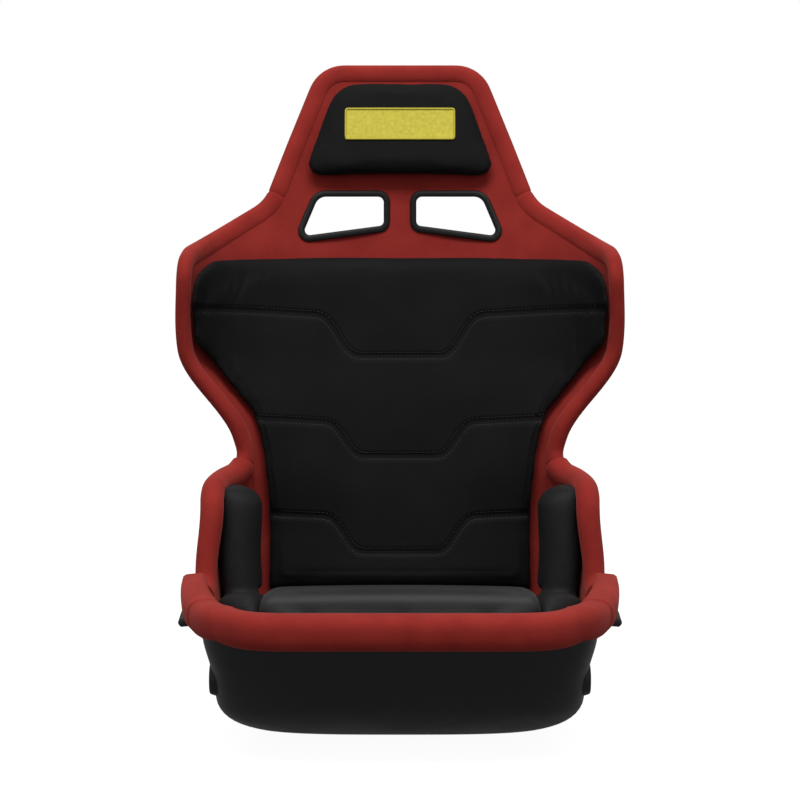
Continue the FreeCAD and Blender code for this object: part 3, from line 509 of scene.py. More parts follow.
# Sections of the bezel and of its ring, as points (distance out from the slot's edge, inset)
FLANGE = [(9.0, 2.6), (9.0, 4.2), (8.6, 5.0), (7.8, 5.5), (5.0, 6.0), (1.8, 5.9), (0.6, 5.4), (0.1, 4.6), (0.0, 3.6),
          (0.0, -6.9), (0.1, -7.0), (2.0, -7.0), (2.0, 2.6)]
BACK_RING = [(2.1, -5.1), (2.1, -7.2), (2.5, -7.9), (4.5, -8.2), (7.6, -8.0), (8.6, -7.5), (9.0, -6.8), (9.0, -5.1)]
for where, corners, radii in (("shoulder", SHOULDER_SLOT, SHOULDER_SLOT_RADII), ("lap", LAP_SLOT, LAP_SLOT_RADII)):
    for part, section in (("bezel", FLANGE), ("bezel_ring", BACK_RING)):
        rings = []
        for out, inset in section:
            line = rounded(grown(corners, out), [radius + out for radius in radii])
            if where == "shoulder":
                rings.append(np.stack([line[:, 0], wall_y(line[:, 0], line[:, 1], inset), line[:, 1]], axis=-1))
            else:
                rings.append(np.stack([wall_x(line[:, 0], line[:, 1], inset), line[:, 0], line[:, 1]], axis=-1))
        rings = np.array(rings)
        for label, side in (("left", -1), ("right", 1)):
            node = f"{where}_{part}_{label}"
            bezel = outwards(piece(node + "_moulding", rings * np.array([side, 1.0, 1.0]),
                                   quads(*rings.shape[:2], closed_rows=True)))
            bezel.data.set_sharp_from_angle(angle=math.radians(50))
            bezel.data.materials.append(bezel_black)
            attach(bezel, "root")
            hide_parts(node)


# Rim rolls: foam tubes in red velour, wrapped over the trimmed edge and sewn where one length meets the next.
# The rim line is followed on the middle of the wall, from the front's middle round the right side to the head, and
# the left side is its mirror image.
LIP_END_Y, SHOULDER_Z, HEAD_FACE_Y, HEAD_TOP = -215.0, 594.0, 216.0, 862.0


def rim_line():
    """Points on the rim in three runs: the lip on its level's superellipse, the flank on the side line where it
    lies inside the front line, and the shoulder slope and head on the front line behind the side line."""
    middle = -WALL / 2
    half, side, rear, front, power = level_section(LIP_LEVEL, middle)
    angle = np.radians(np.arange(0.0, 88.0, 0.25))
    reach = squared(np.cos(angle), np.sin(angle), FRONT_POWER)
    lip = np.stack([half * np.sin(angle) * reach, side - (side - front) * np.cos(angle) * reach,
                    np.full(len(angle), LIP_LEVEL)], axis=-1)
    lip = lip[lip[:, 1] < LIP_END_Y]

    def sampled(corners, radii):
        """The rounded outline's points at an even spacing along it."""
        line = rounded(corners, radii, 3.0)
        length = np.concatenate([[0.0], np.cumsum(np.linalg.norm(np.diff(line, axis=0), axis=1))])
        at = np.arange(0.0, length[-1], 1.5)
        return np.stack([np.interp(at, length, line[:, 0]), np.interp(at, length, line[:, 1])], axis=-1)

    front_line = sampled(FRONT_RIM[:8], [0] + FRONT_RIM_RADII[1:7] + [0])
    front_line = front_line[(front_line[:, 0] > 0.0) & (front_line[:, 1] > 560.0)]
    order = np.argsort(front_line[:, 1])
    side_line = sampled(SIDE_RIM[:8], [0] + SIDE_RIM_RADII[1:7] + [0])
    flank = side_line[(side_line[:, 0] > LIP_END_Y + 2.0) & (side_line[:, 0] < HEAD_FACE_Y - 4.0)
                      & (side_line[:, 1] > LIP_LEVEL - 1.0)]
    flank_x = wall_x(flank[:, 0], flank[:, 1], middle)
    limit = np.interp(flank[:, 1], front_line[order, 1], front_line[order, 0], left=400.0)
    inside = flank_x <= limit
    flank = np.stack([flank_x, flank[:, 0], flank[:, 1]], axis=-1)[inside]
    top = side_line[(side_line[:, 1] > SHOULDER_Z) & (side_line[:, 0] <= HEAD_FACE_Y)]
    slope_y = wall_y(front_line[:, 0], front_line[:, 1], middle)
    behind = slope_y >= np.interp(front_line[:, 1], top[:, 1], top[:, 0], left=400.0)
    head = np.stack([front_line[:, 0], slope_y, front_line[:, 1]], axis=-1)[behind]
    head = np.concatenate([head, [[0.0, wall_y(0.0, HEAD_TOP, middle), HEAD_TOP]]])
    line = np.concatenate([lip, flank, head])
    line = line[np.concatenate([[True], np.linalg.norm(np.diff(line, axis=0), axis=1) > 0.3])]
    return line


def evenly(line, spacing):
    """The line's points again at an even spacing."""
    length = np.concatenate([[0.0], np.cumsum(np.linalg.norm(np.diff(line, axis=0), axis=1))])
    at = np.linspace(0.0, length[-1], int(round(length[-1] / spacing)) + 1)
    return np.stack([np.interp(at, length, line[:, axis]) for axis in range(3)], axis=-1)


# The rim as a closed line, eased by a bell-shaped mean over 20 mm, and its right half again
SPACING = 2.5
rim = evenly(rim_line(), SPACING)
flip = np.array([-1.0, 1.0, 1.0])
whole = np.concatenate([rim[:0:-1] * flip, rim, rim[-2:0:-1] * flip])
kernel = np.exp(-np.linspace(-2, 2, 9) ** 2)
kernel /= kernel.sum()
padded_line = np.concatenate([whole[-8:], whole, whole[:8]])
smoothed = np.stack([np.convolve(padded_line[:, axis], kernel, "same") for axis in range(3)], axis=-1)[8:-8]
rim = evenly(smoothed[len(rim) - 1:2 * len(rim) - 1], SPACING)
rim[0, 0] = rim[-1, 0] = 0.0
rim_at = np.arange(len(rim)) * np.linalg.norm(rim[1] - rim[0])


def unit(vectors):
    """Vectors of length 1 in the same directions."""
    return vectors / np.linalg.norm(vectors, axis=-1, keepdims=True)


def surface_level(points):
    """|x / half|^p + |(y - side) / depth|^p at each point: 1 on the wall's middle surface, more outside it."""
    half, side, rear, front, power = level_section(points[:, 2], -WALL / 2)
    behind = points[:, 1] >= side
    depth = np.where(behind, rear - side, side - front)
    exponent = np.where(behind, power, FRONT_POWER)
    return (np.abs(points[:, 0]) / half) ** exponent + (np.abs(points[:, 1] - side) / depth) ** exponent


# Three directions at each point of the rim: along it, square to the wall inwards, and past the wall's edge
rim_along = np.gradient(rim, axis=0)
rim_along[0], rim_along[-1] = (1, 0, 0), (-1, 0, 0)
rim_along = unit(rim_along)
slope = np.stack([surface_level(rim + 0.5 * step) - surface_level(rim - 0.5 * step) for step in np.eye(3)], axis=-1)
rim_normal = -slope - rim_along * np.sum(-slope * rim_along, axis=1)[:, None]
for index in range(12):
    spread = np.concatenate([rim_normal[:1] * flip, rim_normal, rim_normal[-1:] * flip])
    rim_normal = unit(unit(spread[:-2]) + 2 * unit(spread[1:-1]) + unit(spread[2:]))
rim_normal = unit(rim_normal - rim_along * np.sum(rim_normal * rim_along, axis=1)[:, None])
rim_beyond = np.cross(rim_along, rim_normal)

THIGH_START = rim_at[np.argmax(rim[:, 1] > -195.0)]
WING_START = rim_at[np.argmax(rim[:, 1] > -47.0)]
WAIST = rim_at[np.argmax(rim[:, 1] > 128.0)]
NECK = rim_at[np.argmax(rim[:, 2] > 688.0)]
RIM_END = rim_at[-1]
CORNER = rim_at[np.argmax((rim[:, 0] - rim[:, 1]) * (rim[:, 1] < -150.0))]
WING_TOP = rim_at[np.argmax(rim[:, 2] > 286.0)]
CORNER_TUCK, TUCK_AHEAD, TUCK_BEHIND = 26.0, 40.0, 90.0
SECTION_SIDES = 40


def roll_rings(start, end, radius, widths, shifts, lift, powers, tail, seam_start, seam_end):
    """Sections of a roll: superellipses round points that stand off the rim by a shift and a lift. The width, the
    shift and the power may ease from one value to another along the roll. It is tucked in at the front corners by
    a bell curve, drawn in at its sewn ends, and puckered by two crossing ripples where the rim turns. Its tail
    runs out on the lining."""
    steps = max(4, int((end - start) / SPACING))
    fine = np.sort(np.concatenate([np.linspace(start, end, steps + 1), start + np.array([0.6, 1.6]),
                                   end - np.array([1.6, 0.6])]))
    frames = [np.stack([np.interp(fine, rim_at, values[:, axis]) for axis in range(3)], axis=-1)
              for values in (rim, rim_normal, rim_beyond, rim_along)]
    point, normal, beyond, along = frames[0], unit(frames[1]), unit(frames[2]), frames[3]
    angle = np.arange(SECTION_SIDES) * 2 * math.pi / SECTION_SIDES
    across, out = np.cos(angle)[None, :], np.sin(angle)[None, :]
    share = smooth((fine - start) / (shifts[2] - start))[:, None]
    width = widths[0] + (widths[1] - widths[0]) * share
    tuck_spread = np.where(fine < CORNER, TUCK_AHEAD, TUCK_BEHIND)
    tucked = CORNER_TUCK * np.exp(-((fine - CORNER) / tuck_spread) ** 2)[:, None]
    shift = shifts[0] + (shifts[1] - shifts[0]) * share + tucked
    power = powers[0] + (powers[1] - powers[0]) * share
    reach = squared(across, out, power)
    full = np.ones(len(fine))
    for edge, sewn in ((fine - start, seam_start), (end - fine, seam_end)):
        if sewn:
            full = full * (1 - sewn * np.exp(-(edge / 2.2) ** 1.4))
    turning = np.linalg.norm(np.gradient(along, axis=0), axis=1) / np.maximum(np.gradient(fine), 0.3)
    ripple = np.sin(fine * 0.55) * np.sin(fine * 0.21 + 1.3)
    pucker = 1 + 0.5 * np.minimum(turning * radius, 0.5)[:, None] * 0.05 * ripple[:, None] * np.maximum(across, 0)
    size = radius * reach * full[:, None] * pucker
    return (point[:, None, :] + normal[:, None, :] * (shift + width * size * across)[:, :, None]
            + beyond[:, None, :] * (lift + size * out * np.where(out < 0, tail, 1.0))[:, :, None])


def across_middle(rings):
    """Rows that begin on the middle plane, with their mirror image before them."""
    middle = rings[:1] * np.array([0.0, 1.0, 1.0])
    return np.concatenate([rings[:0:-1] * flip, middle, rings[1:]])


roll_velour = velour("red_velour", (0.25, 0.020, 0.016), (0.30, 0.026, 0.020), 0.25)
# Radius, width share, stand-off and where its change ends, lift past the wall's edge, squareness, and tail
LIP = (22.5, (1.0, 1.0), (-10.5, -10.5, RIM_END), 8.5, (2.6, 2.6), 1.0)
THIGH = (22.5, (1.0, 0.70), (-10.5, -18.5, WING_START), 8.5, (2.6, 6.0), 1.0)
WING = (15.5, (0.88, 1.0), (-9.5, 2.0, WING_TOP), 0.0, (2.0, 2.0), 1.2)
EDGE = (10.0, (1.0, 1.0), (0.0, 0.0, RIM_END), 0.0, (2.0, 2.0), 1.8)
rolls = {
    "front_roll": across_middle(roll_rings(0.0, THIGH_START, *LIP, 0, 0.10)),
    "head_roll": across_middle(roll_rings(NECK, RIM_END, *EDGE, 0.12, 0)[::-1]),
}
for name, start, end, section, seams in (("thigh_roll", THIGH_START, WING_START, THIGH, (0.10, 0.05)),
                                         ("wing_roll", WING_START, WAIST, WING, (0.10, 0.10)),
                                         ("back_roll", WAIST, NECK, EDGE, (0.10, 0.12))):
    rings = roll_rings(start + 0.4, end, *section, *seams)
    rolls[name + "_right"] = rings
    rolls[name + "_left"] = (rings * flip)[::-1]
for node, rings in rolls.items():
    roll = closed_form(node + "_cover", rings)
    roll.data.set_sharp_from_angle(angle=math.radians(60))
    roll.data.materials.append(roll_velour)
    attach(roll, "root")
    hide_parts(node)


# Back cushion: cut foam in a black knitted cover, one thin pad from hips to shoulders with three sewn channels that
# step down to the middle. It lies on the back lining and is held by hook-and-loop strips. Like the other cushions
# it is made as rounded sections on a base line, fuller in the middle by the crown, and then blown up a little.
def knitted(name, low, high, gloss, roughness):
    """Fine black knit, its loops crossing every 2 mm, in a colour that drifts at random between low and high. Its
    lighter copies, on the side pads and the seat, are painted light.
    """
    made, tree, shader = node_material(name)
    place = tree.nodes.new("ShaderNodeTexCoord")
    loops = []
    for direction in ("X", "Z"):
        wave = tree.nodes.new("ShaderNodeTexWave")
        wave.bands_direction = direction
        wave.inputs["Scale"].default_value = 160.0
        wave.inputs["Distortion"].default_value = 0.6
        wave.inputs["Detail"].default_value = 1.0
        tree.links.new(place.outputs["Object"], wave.inputs["Vector"])
        loops.append(wave.outputs["Fac"])
    mesh_value = tree.nodes.new("ShaderNodeMath")
    mesh_value.operation = "MULTIPLY"
    tree.links.new(loops[0], mesh_value.inputs[0])
    tree.links.new(loops[1], mesh_value.inputs[1])
    vary(tree, shader, "Base Color", noise(tree, 14.0), (low, low, low * 1.06), (high, high, high * 1.06))
    shader.inputs["Roughness"].default_value = roughness
    shader.inputs["Specular IOR Level"].default_value = gloss
    shader.inputs["Sheen Weight"].default_value = 0.006
    shader.inputs["Sheen Roughness"].default_value = 0.5
    yarn = bump(tree, shader, mesh_value.outputs[0], 0.0005, 0.35)
    bump(tree, shader, noise(tree, 70.0, 4.0), 0.0012, 0.18, yarn)
    return made


knit = knitted("black_knit", 0.0042, 0.0066, 0.11, 0.72)
STANDOFF, CUSHION_FILL = 6.0, 0.9


def laid(point, direction, half_width, thickness, crown, power, columns):
    """Sections on base lines: superellipses whose lower side lies on the base. point(s) and direction(s) give the
    base and its outward direction at distances s across the cushion, and the crown makes the edges thinner."""
    angle = (np.arange(columns) + 0.5) * 2 * math.pi / columns
    across, away = np.cos(angle), np.sin(angle)
    reach = squared(across, away, power)
    share = across * reach
    lift = thickness[:, None] * (1 - crown * share ** 2)[None, :] * (1 + away * reach)[None, :] / 2
    s = half_width[:, None] * share[None, :]
    return point(s) + direction(s) * lift[:, :, None]


def end_round(z, low, high, low_radius, high_radius):
    """How much of its full size a cushion has near its rounded ends: a quarter circle's rise at each end."""
    bottom = np.sqrt(np.maximum(0.0, 1 - np.clip(1 - (z - low) / low_radius, 0, 1) ** 2))
    top = np.sqrt(np.maximum(0.0, 1 - np.clip(1 - (high - z) / high_radius, 0, 1) ** 2))
    return np.minimum(bottom, top)


def ease(low, high, spacing, edge):
    """Heights from low to high, closer together near both ends."""
    near = np.array([0.0, 0.4, 1.2, 2.6, 4.6, 7.4, 10.8])
    near = near[near < edge]
    inner = np.linspace(low + edge, high - edge, int((high - low - 2 * edge) / spacing) + 1)
    return np.concatenate([low + near, inner, (high - near)[::-1]])


PRESSURE, CLOTH_FRAMES = 4.0, 20


def inflated(made, cap, voxel=0.005, eased=0):
    """The cover cut into even cloth, blown up from inside by a cloth simulation, and made finer. No point moves
    further than the cap, in millimetres, and the creases may be eased."""
    remesh = made.modifiers.new("remesh", "REMESH")
    remesh.mode = "VOXEL"
    remesh.voxel_size = voxel
    remesh.use_smooth_shade = True
    even = made.modifiers.new("even", "SMOOTH")
    even.factor, even.iterations = 0.5, 5
    settled(made)
    before = np.empty(len(made.data.vertices) * 3)
    made.data.vertices.foreach_get("co", before)
    before = before.reshape(-1, 3)
    cloth = made.modifiers.new("cloth", "CLOTH")
    cloth.settings.use_pressure = True
    cloth.settings.uniform_pressure_force = PRESSURE
    cloth.settings.effector_weights.gravity = 0.0
    cloth.settings.quality = 4
    scene = bpy.context.scene
    for number in range(CLOTH_FRAMES):
        scene.frame_set(number + 1)
    settled(made)
    scene.frame_set(1)
    after = np.empty(len(made.data.vertices) * 3)
    made.data.vertices.foreach_get("co", after)
    move = after.reshape(-1, 3) - before
    length = np.linalg.norm(move, axis=1, keepdims=True)
    after = before + move * np.minimum(1.0, cap * 0.001 / np.maximum(length, 1e-9))
    made.data.vertices.foreach_set("co", after.ravel())
    if eased:
        ease_off = made.modifiers.new("ease", "SMOOTH")
        ease_off.factor, ease_off.iterations = 0.5, eased
    finer = made.modifiers.new("finer", "SUBSURF")
    finer.levels = finer.render_levels = 1
    return settled(made)


def line_distance(u, v, line):
    """Distance of plane points (u, v) from a polyline: the least over its runs."""
    nearest = np.full(u.shape, 1e9)
    for start, end in zip(line[:-1], line[1:]):
        run = end - start
        share = np.clip(((u - start[0]) * run[0] + (v - start[1]) * run[1]) / (run @ run), 0, 1)
        nearest = np.minimum(nearest, np.hypot(u - start[0] - share * run[0], v - start[1] - share * run[1]))
    return nearest


def moved(made, shift):
    """The piece with its points moved along their normals by a function of point and normal, in millimetres."""
    count = len(made.data.vertices)
    points, normals = np.empty(count * 3), np.empty(count * 3)
    made.data.vertices.foreach_get("co", points)
    made.data.vertex_normals.foreach_get("vector", normals)
    points, normals = points.reshape(-1, 3) * 1000, normals.reshape(-1, 3)
    points = points + normals * shift(points, normals)[:, None]
    made.data.vertices.foreach_set("co", (points * 0.001).ravel())
    made.data.update()
    return made


def finished_cushion(made, node, cover):
    """The cushion shaded smooth, given its cover material and attached, in place of its CAD node, which is hidden."""
    made.data.shade_smooth()
    made.data.materials.clear()
    made.data.materials.append(cover)
    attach(made, "root")
    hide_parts(node)


BACK_LOW, BACK_HIGH, BACK_THICK = 150.0, 604.0, 27.0
# Half width by height, as (z, x)
BACK_OUTLINE = np.array([(150, 184), (230, 186), (310, 190), (360, 198), (394, 209), (440, 245), (490, 284),
                         (604, 287)], float)


def back_half(z):
    """The outline's half width, its corners eased by a mean over 14 mm, kept inside the shell, and rounded in at
    the top corners."""
    spread = np.mean([np.interp(z + shift, *BACK_OUTLINE.T) for shift in np.linspace(-7.0, 7.0, 7)], axis=0)
    spread = np.minimum(spread, level_section(z, STANDOFF)[0] - 2.0)
    return spread - 30.0 * (1 - end_round(z, BACK_LOW - 100, BACK_HIGH, 1.0, 34.0))


def on_back(levels):
    """The base line and its forward direction, square to the back, at each level."""
    level = levels[:, None]

    def point(x):
        return np.stack([x, wall_y(x, level, STANDOFF), np.broadcast_to(level, x.shape)], axis=-1)

    def direction(x):
        slope = wall_y(x + 0.5, level, STANDOFF) - wall_y(x - 0.5, level, STANDOFF)
        return unit(np.stack([slope, -np.ones_like(x), np.zeros_like(x)], axis=-1))

    return point, direction


CUSHION_SWELL = 3.0
heights = ease(BACK_LOW, BACK_HIGH, 3.2, 14.0)
share = end_round(heights, BACK_LOW, BACK_HIGH, 14.0, 14.0)
back_rings = laid(*on_back(heights), back_half(heights), BACK_THICK * (0.4 + 0.6 * share), 0.25, 4.5, 200)
back_cushion = closed_form("back_cushion_cover", back_rings)
inflated(back_cushion, CUSHION_SWELL)
# Half of a channel's line, as (x, share of its rise): level in the middle, then a step up towards the side
CHANNEL_STEPS = [(0, 0), (51, 0), (59, 0.05), (67, 0.18), (75, 0.42), (84, 0.70), (93, 0.90), (103, 0.98), (120, 1.0)]
# Each channel's height in the middle, how far its steps are stretched, its rise there and its rise at the side
CHANNELS = [(467.0, 1.12, 58.0, 70.0), (331.0, 1.0, 48.0, 56.0), (202.0, 1.0, 49.0, 54.0)]
channels = []
for height, reach, rise, end_rise in CHANNELS:
    end_x = back_half(np.array([height + 60.0]))[0] + 4.0
    steps = [(x * reach, height + rise * share) for x, share in CHANNEL_STEPS] + [(end_x, height + end_rise)]
    channels.append(np.array([(-x, z) for x, z in steps[:0:-1]] + steps))
crease = np.array([(-150.0, 176.0), (150.0, 176.0)])


def quilt(points, normals):
    """How far the cover's front moves out: channels with flat floors and short sides, a narrow crease near the
    foot, and foam that gets fuller away from them by a bell curve."""
    nearest = np.min([line_distance(points[:, 0], points[:, 2], line) for line in channels], axis=0)
    fold = line_distance(points[:, 0], points[:, 2], crease)
    front = smooth((-normals[:, 1] - 0.1) / 0.4)
    relief = 2.0 * (1 - np.exp(-(nearest / 30.0) ** 2)) - 1.0 - 2.6 * (1 - smooth((nearest - 2.5) / 5.0))
    return front * (relief - 0.8 * np.exp(-(fold / 3.0) ** 2))


def stitches(made, lines, pitch, length, radius, thread):
    """Short threads sewn along lines (x, z) on the piece's front, joined to it with their own material. Each is a
    capsule of four hexagons along the run between two points that lie on the cover."""
    tree = BVHTree.FromObject(made, bpy.context.evaluated_depsgraph_get())
    ends, tops = [], []
    for line in lines:
        for x, z in line:
            place, normal = tree.ray_cast(Vector((x * 0.001, -1.0, z * 0.001)), Vector((0, 1, 0)))[:2]
            if place is not None:
                ends.append(np.array(place) * 1000)
                tops.append(np.array(normal))
            else:
                ends.append(np.full(3, np.nan))
                tops.append(np.array([0.0, -1.0, 0.0]))
    ends, tops = np.array(ends), np.array(tops)
    run = np.roll(ends, -1, axis=0) - ends
    kept = np.linalg.norm(run, axis=1) < 1.6 * pitch
    centre, along, top = (ends + run / 2)[kept], unit(run[kept]), tops[kept]
    side = unit(np.cross(along, top))
    angle = np.arange(6) * math.pi / 3
    rows = []
    for reach, share in ((-0.5, 0.4), (-0.34, 1.0), (0.34, 1.0), (0.5, 0.4)):
        ring = np.cos(angle)[:, None, None] * side[None] + np.sin(angle)[:, None, None] * top[None]
        sunk = 0.8 * radius * (1 - share)
        rows.append(centre[None] + along[None] * reach * length + ring * radius * share - top[None] * sunk)
    points = np.stack(rows).transpose(2, 0, 1, 3)
    faces = []
    for index in range(len(points)):
        faces += quads(4, 6, index * 24)
        faces += [[index * 24 + corner for corner in range(6)][::-1], [index * 24 + 18 + corner for corner in range(6)]]
    sewn = outwards(piece("stitches", points, faces))
    sewn.data.materials.append(thread)
    return joined(made.name, [made, sewn])


black_thread, tree, shader = node_material("black_thread")
vary(tree, shader, "Base Color", noise(tree, 800.0), (0.010, 0.010, 0.0105), (0.022, 0.022, 0.023))
shader.inputs["Roughness"].default_value = 0.5
bump(tree, shader, noise(tree, 2600.0, 2.0), 0.0002, 0.5)
moved(back_cushion, quilt)
finished_cushion(back_cushion, "back_cushion", knit)
STITCH_PITCH, STITCH_LENGTH, THREAD_RADIUS, SEAM_OFFSET = 5, 3.9, 0.42, 4.6
rows = []
for line in channels:
    fine = evenly(np.insert(line, 1, 0.0, axis=1), 1.0)[:, [0, 2]]
    eased_line = [np.convolve(np.pad(fine[:, axis], 6, "edge"), np.full(13, 1 / 13), "valid") for axis in (0, 1)]
    run = unit(np.gradient(np.stack(eased_line, axis=-1), axis=0))
    for shift in (-SEAM_OFFSET, SEAM_OFFSET):
        row = fine + shift * np.stack([-run[:, 1], run[:, 0]], axis=-1)
        rows.append(row[8:-8:STITCH_PITCH])
stitches(back_cushion, rows, STITCH_PITCH, STITCH_LENGTH, THREAD_RADIUS, black_thread)


# Headrest pad: a thicker foam pad in the same knitted cover, above the shoulder belts' slots. It gets narrower
# towards the top, has rounded corners, and is held on the lining by one hook-and-loop strip.
HEAD_LOW, HEAD_HIGH, HEAD_THICK = 715.0, 847.0, 29.0
HEAD_HALF, HEAD_TAPER, HEAD_CORNER = 142.0, 0.37, 30.0
levels = ease(HEAD_LOW, HEAD_HIGH, 3.0, 13.0)
corner = 1 - end_round(levels, HEAD_LOW, HEAD_HIGH, 26.0, 32.0)
half = HEAD_HALF - (levels - HEAD_LOW) * HEAD_TAPER - HEAD_CORNER * corner
share = end_round(levels, HEAD_LOW, HEAD_HIGH, 13.0, 13.0)
head_rings = laid(*on_back(levels), half, HEAD_THICK * (0.4 + 0.6 * share), 0.2, 3.6, 140)
headrest = closed_form("headrest_pad_cover", head_rings)
inflated(headrest, CUSHION_SWELL, 0.004, eased=10)
finished_cushion(headrest, "headrest_pad", knit)


# Side pads: foam in the knitted cover, in a lighter copy of the knit that is painted light, for how brightly they are
# lit. Each is an upright bolster that holds the hip, on the hip lining, with a foot that runs forward along the thigh,
# between the seat cushion and the wall.
# A lighter, glossier copy of the black knit: its lighter colour is painted light.
pad_knit_painted_lighter = knitted("black_knit_painted_lighter", 0.0080, 0.0110, 0.2, 0.68)
PAD_LOW, PAD_HIGH, PAD_THICK = 160.0, 303.0, 54.0
pad_levels = ease(PAD_LOW, PAD_HIGH, 3.5, 12.0)
lean = (pad_levels - PAD_LOW) / (PAD_HIGH - PAD_LOW)
pad_front, pad_rear = -2.0 + 20.0 * lean, 88.0 + 10.0 * lean
pad_middle = ((pad_front + pad_rear) / 2)[:, None]
pad_share = end_round(pad_levels, PAD_LOW, PAD_HIGH, 12.0, 26.0)


def pad_point(s):
    """The base line on the side wall, s in front of the pad's middle at each level."""
    y = pad_middle - s
    level = np.broadcast_to(pad_levels[:, None], y.shape)
    return np.stack([wall_x(y, level, STANDOFF), y, level], axis=-1)


def pad_direction(s):
    """Inwards from the side wall, square to its level line."""
    y, level = pad_middle - s, pad_levels[:, None]
    slope = wall_x(y + 0.5, level, STANDOFF) - wall_x(y - 0.5, level, STANDOFF)
    return unit(np.stack([-np.ones_like(y), slope, np.zeros_like(y)], axis=-1))


pad_rings = laid(pad_point, pad_direction, (pad_rear - pad_front) / 2 * (0.5 + 0.5 * pad_share),
                 (PAD_THICK - 2.0 * (1 - lean)) * (0.3 + 0.7 * pad_share), 0.15, 2.8, 90)

# The foot: its outer side is drawn in at the front, and its top slopes down to the front
FOOT_FRONT, FOOT_REAR, FOOT_LOW, FOOT_HIGH, FOOT_INNER = -205.0, 26.0, 118.0, 190.0, 172.0
FOOT_DRAW, FOOT_SLOPE, FOOT_POWER = 40.0, 24.0, 3
foot_y = ease(FOOT_FRONT, FOOT_REAR, 4.0, 12.0)[:, None]
foot_share = end_round(foot_y, FOOT_FRONT, FOOT_REAR, 30.0, 12.0)
foot_outer = wall_x(foot_y, 180.0, 5.0) - FOOT_DRAW * smooth((-80.0 - foot_y) / 110.0)
angle = (np.arange(60) + 0.5) * 2 * math.pi / 60
across, up = np.cos(angle)[None, :], np.sin(angle)[None, :]
reach = squared(across, up, FOOT_POWER)
foot_x = (foot_outer + FOOT_INNER) / 2 + (foot_outer - FOOT_INNER) / 2 * across * reach * (0.5 + 0.5 * foot_share)
foot_top = FOOT_HIGH - FOOT_SLOPE * smooth((foot_y + 150.0) / 150.0)
foot_z = (FOOT_LOW + foot_top) / 2 + (foot_top - FOOT_LOW) / 2 * up * reach * (0.4 + 0.6 * foot_share)
foot_rings = np.stack([foot_x, np.broadcast_to(foot_y, foot_x.shape), foot_z], axis=-1)
for label, side in (("left", -1), ("right", 1)):
    towards = np.array([side, 1.0, 1.0])
    pad = closed_form(f"side_pad_{label}_cover", pad_rings * towards)
    foot = closed_form("foot", foot_rings * towards)
    trimmed(pad, "UNION", foot)
    inflated(pad, CUSHION_SWELL, 0.0045)
    finished_cushion(pad, "side_pad_" + label, pad_knit_painted_lighter)


# Seat cushion: foam in the knitted cover, glossier where it is sat on, in a lighter copy of the knit that paints in the
# highlight on its nose. It lies on the base foam between the side pads' feet, held by two hook-and-loop strips, and
# rises to a firm front edge behind the front roll.
# The lighter base colour is a painted highlight; the gloss is the shader's own.
seat_knit = knitted("black_knit_seat", 0.0105, 0.0140, 0.38, 0.6)
SEAT_BASE, NOSE_Y, REAR_Y = 90.0, -232.0, 112.0
SEAT_HALF, SEAT_LOW, SEAT_RISE, SEAT_POWER = 174.0, 150.0, 64.0, 22
COVER_SWELL, SEAT_CROWN, SEAT_COLUMNS = 7.0, 3.0, 180
stations = ease(-REAR_Y, -NOSE_Y, 4.0, 14.0)
y = -stations
nose = end_round(-y, -REAR_Y, -NOSE_Y, 14.0, 16.0)
half = SEAT_HALF - 5.0 * (1 - nose)
top = SEAT_LOW + SEAT_RISE * smooth((60.0 - y) / 270.0)
middle = SEAT_BASE + 36.0
# Directions round a section, spaced evenly along a superellipse of about the cushion's size
angle = np.arange(4001) * 2 * math.pi / 4000
across, up = np.cos(angle), np.sin(angle)
reach = squared(across, up, SEAT_POWER)
run = np.concatenate([[0.0], np.cumsum(np.hypot(170 * np.diff(across * reach), 50 * np.diff(up * reach)))])
angle = np.interp((np.arange(SEAT_COLUMNS) + 0.5) / SEAT_COLUMNS * run[-1], run, angle)
across, up = np.cos(angle)[None, :], np.sin(angle)[None, :]
reach = squared(across, up, SEAT_POWER)
above = top[:, None] - COVER_SWELL - middle - SEAT_CROWN * (across * reach) ** 2
rise = np.where(up > 0, above, middle - SEAT_BASE)
seat_rings = np.stack([half[:, None] * across * reach, np.broadcast_to(y[:, None], rise.shape),
                       middle + up * reach * rise * (0.8 + 0.2 * nose[:, None])], axis=-1)
# The cushion keeps clear of the tub's wall, less at its foot
room = wall_x(seat_rings[:, :, 1], seat_rings[:, :, 2], 3.0 + 8.0 * smooth((seat_rings[:, :, 2] - 120.0) / 20.0))
seat_rings[:, :, 0] = np.sign(seat_rings[:, :, 0]) * np.minimum(np.abs(seat_rings[:, :, 0]), room)
seat_cushion = closed_form("seat_cushion_cover", seat_rings)
inflated(seat_cushion, CUSHION_SWELL)
finished_cushion(seat_cushion, "seat_cushion", seat_knit)


# Patch: blank yellow weave on a thin backing, sewn on the headrest by a raised overlocked border of the same thread.
# It is laid on the headrest's finished face.
def face_y(made, x, z):
    """Where a line along Y first meets the piece, for each x and z in millimetres."""
    tree = BVHTree.FromObject(made, bpy.context.evaluated_depsgraph_get())
    met = [tree.ray_cast(Vector((u * 0.001, -1.0, w * 0.001)), Vector((0, 1, 0)))[0]
           for u, w in zip(x.ravel(), z.ravel())]
    return np.array([point.y * 1000 for point in met]).reshape(x.shape)


def thread_tube(line, radius, sides=8):
    """A closed tube along a closed line: a circle round each point, square to the line."""
    along = unit(np.roll(line, -1, axis=0) - np.roll(line, 1, axis=0))
    side = unit(np.cross(along, np.array([0.0, -1.0, 0.0])))
    away = np.cross(side, along)
    angle = (np.arange(sides) * 2 * math.pi / sides)[None, :, None]
    return line[:, None, :] + radius * (np.cos(angle) * side[:, None, :] + np.sin(angle) * away[:, None, :])


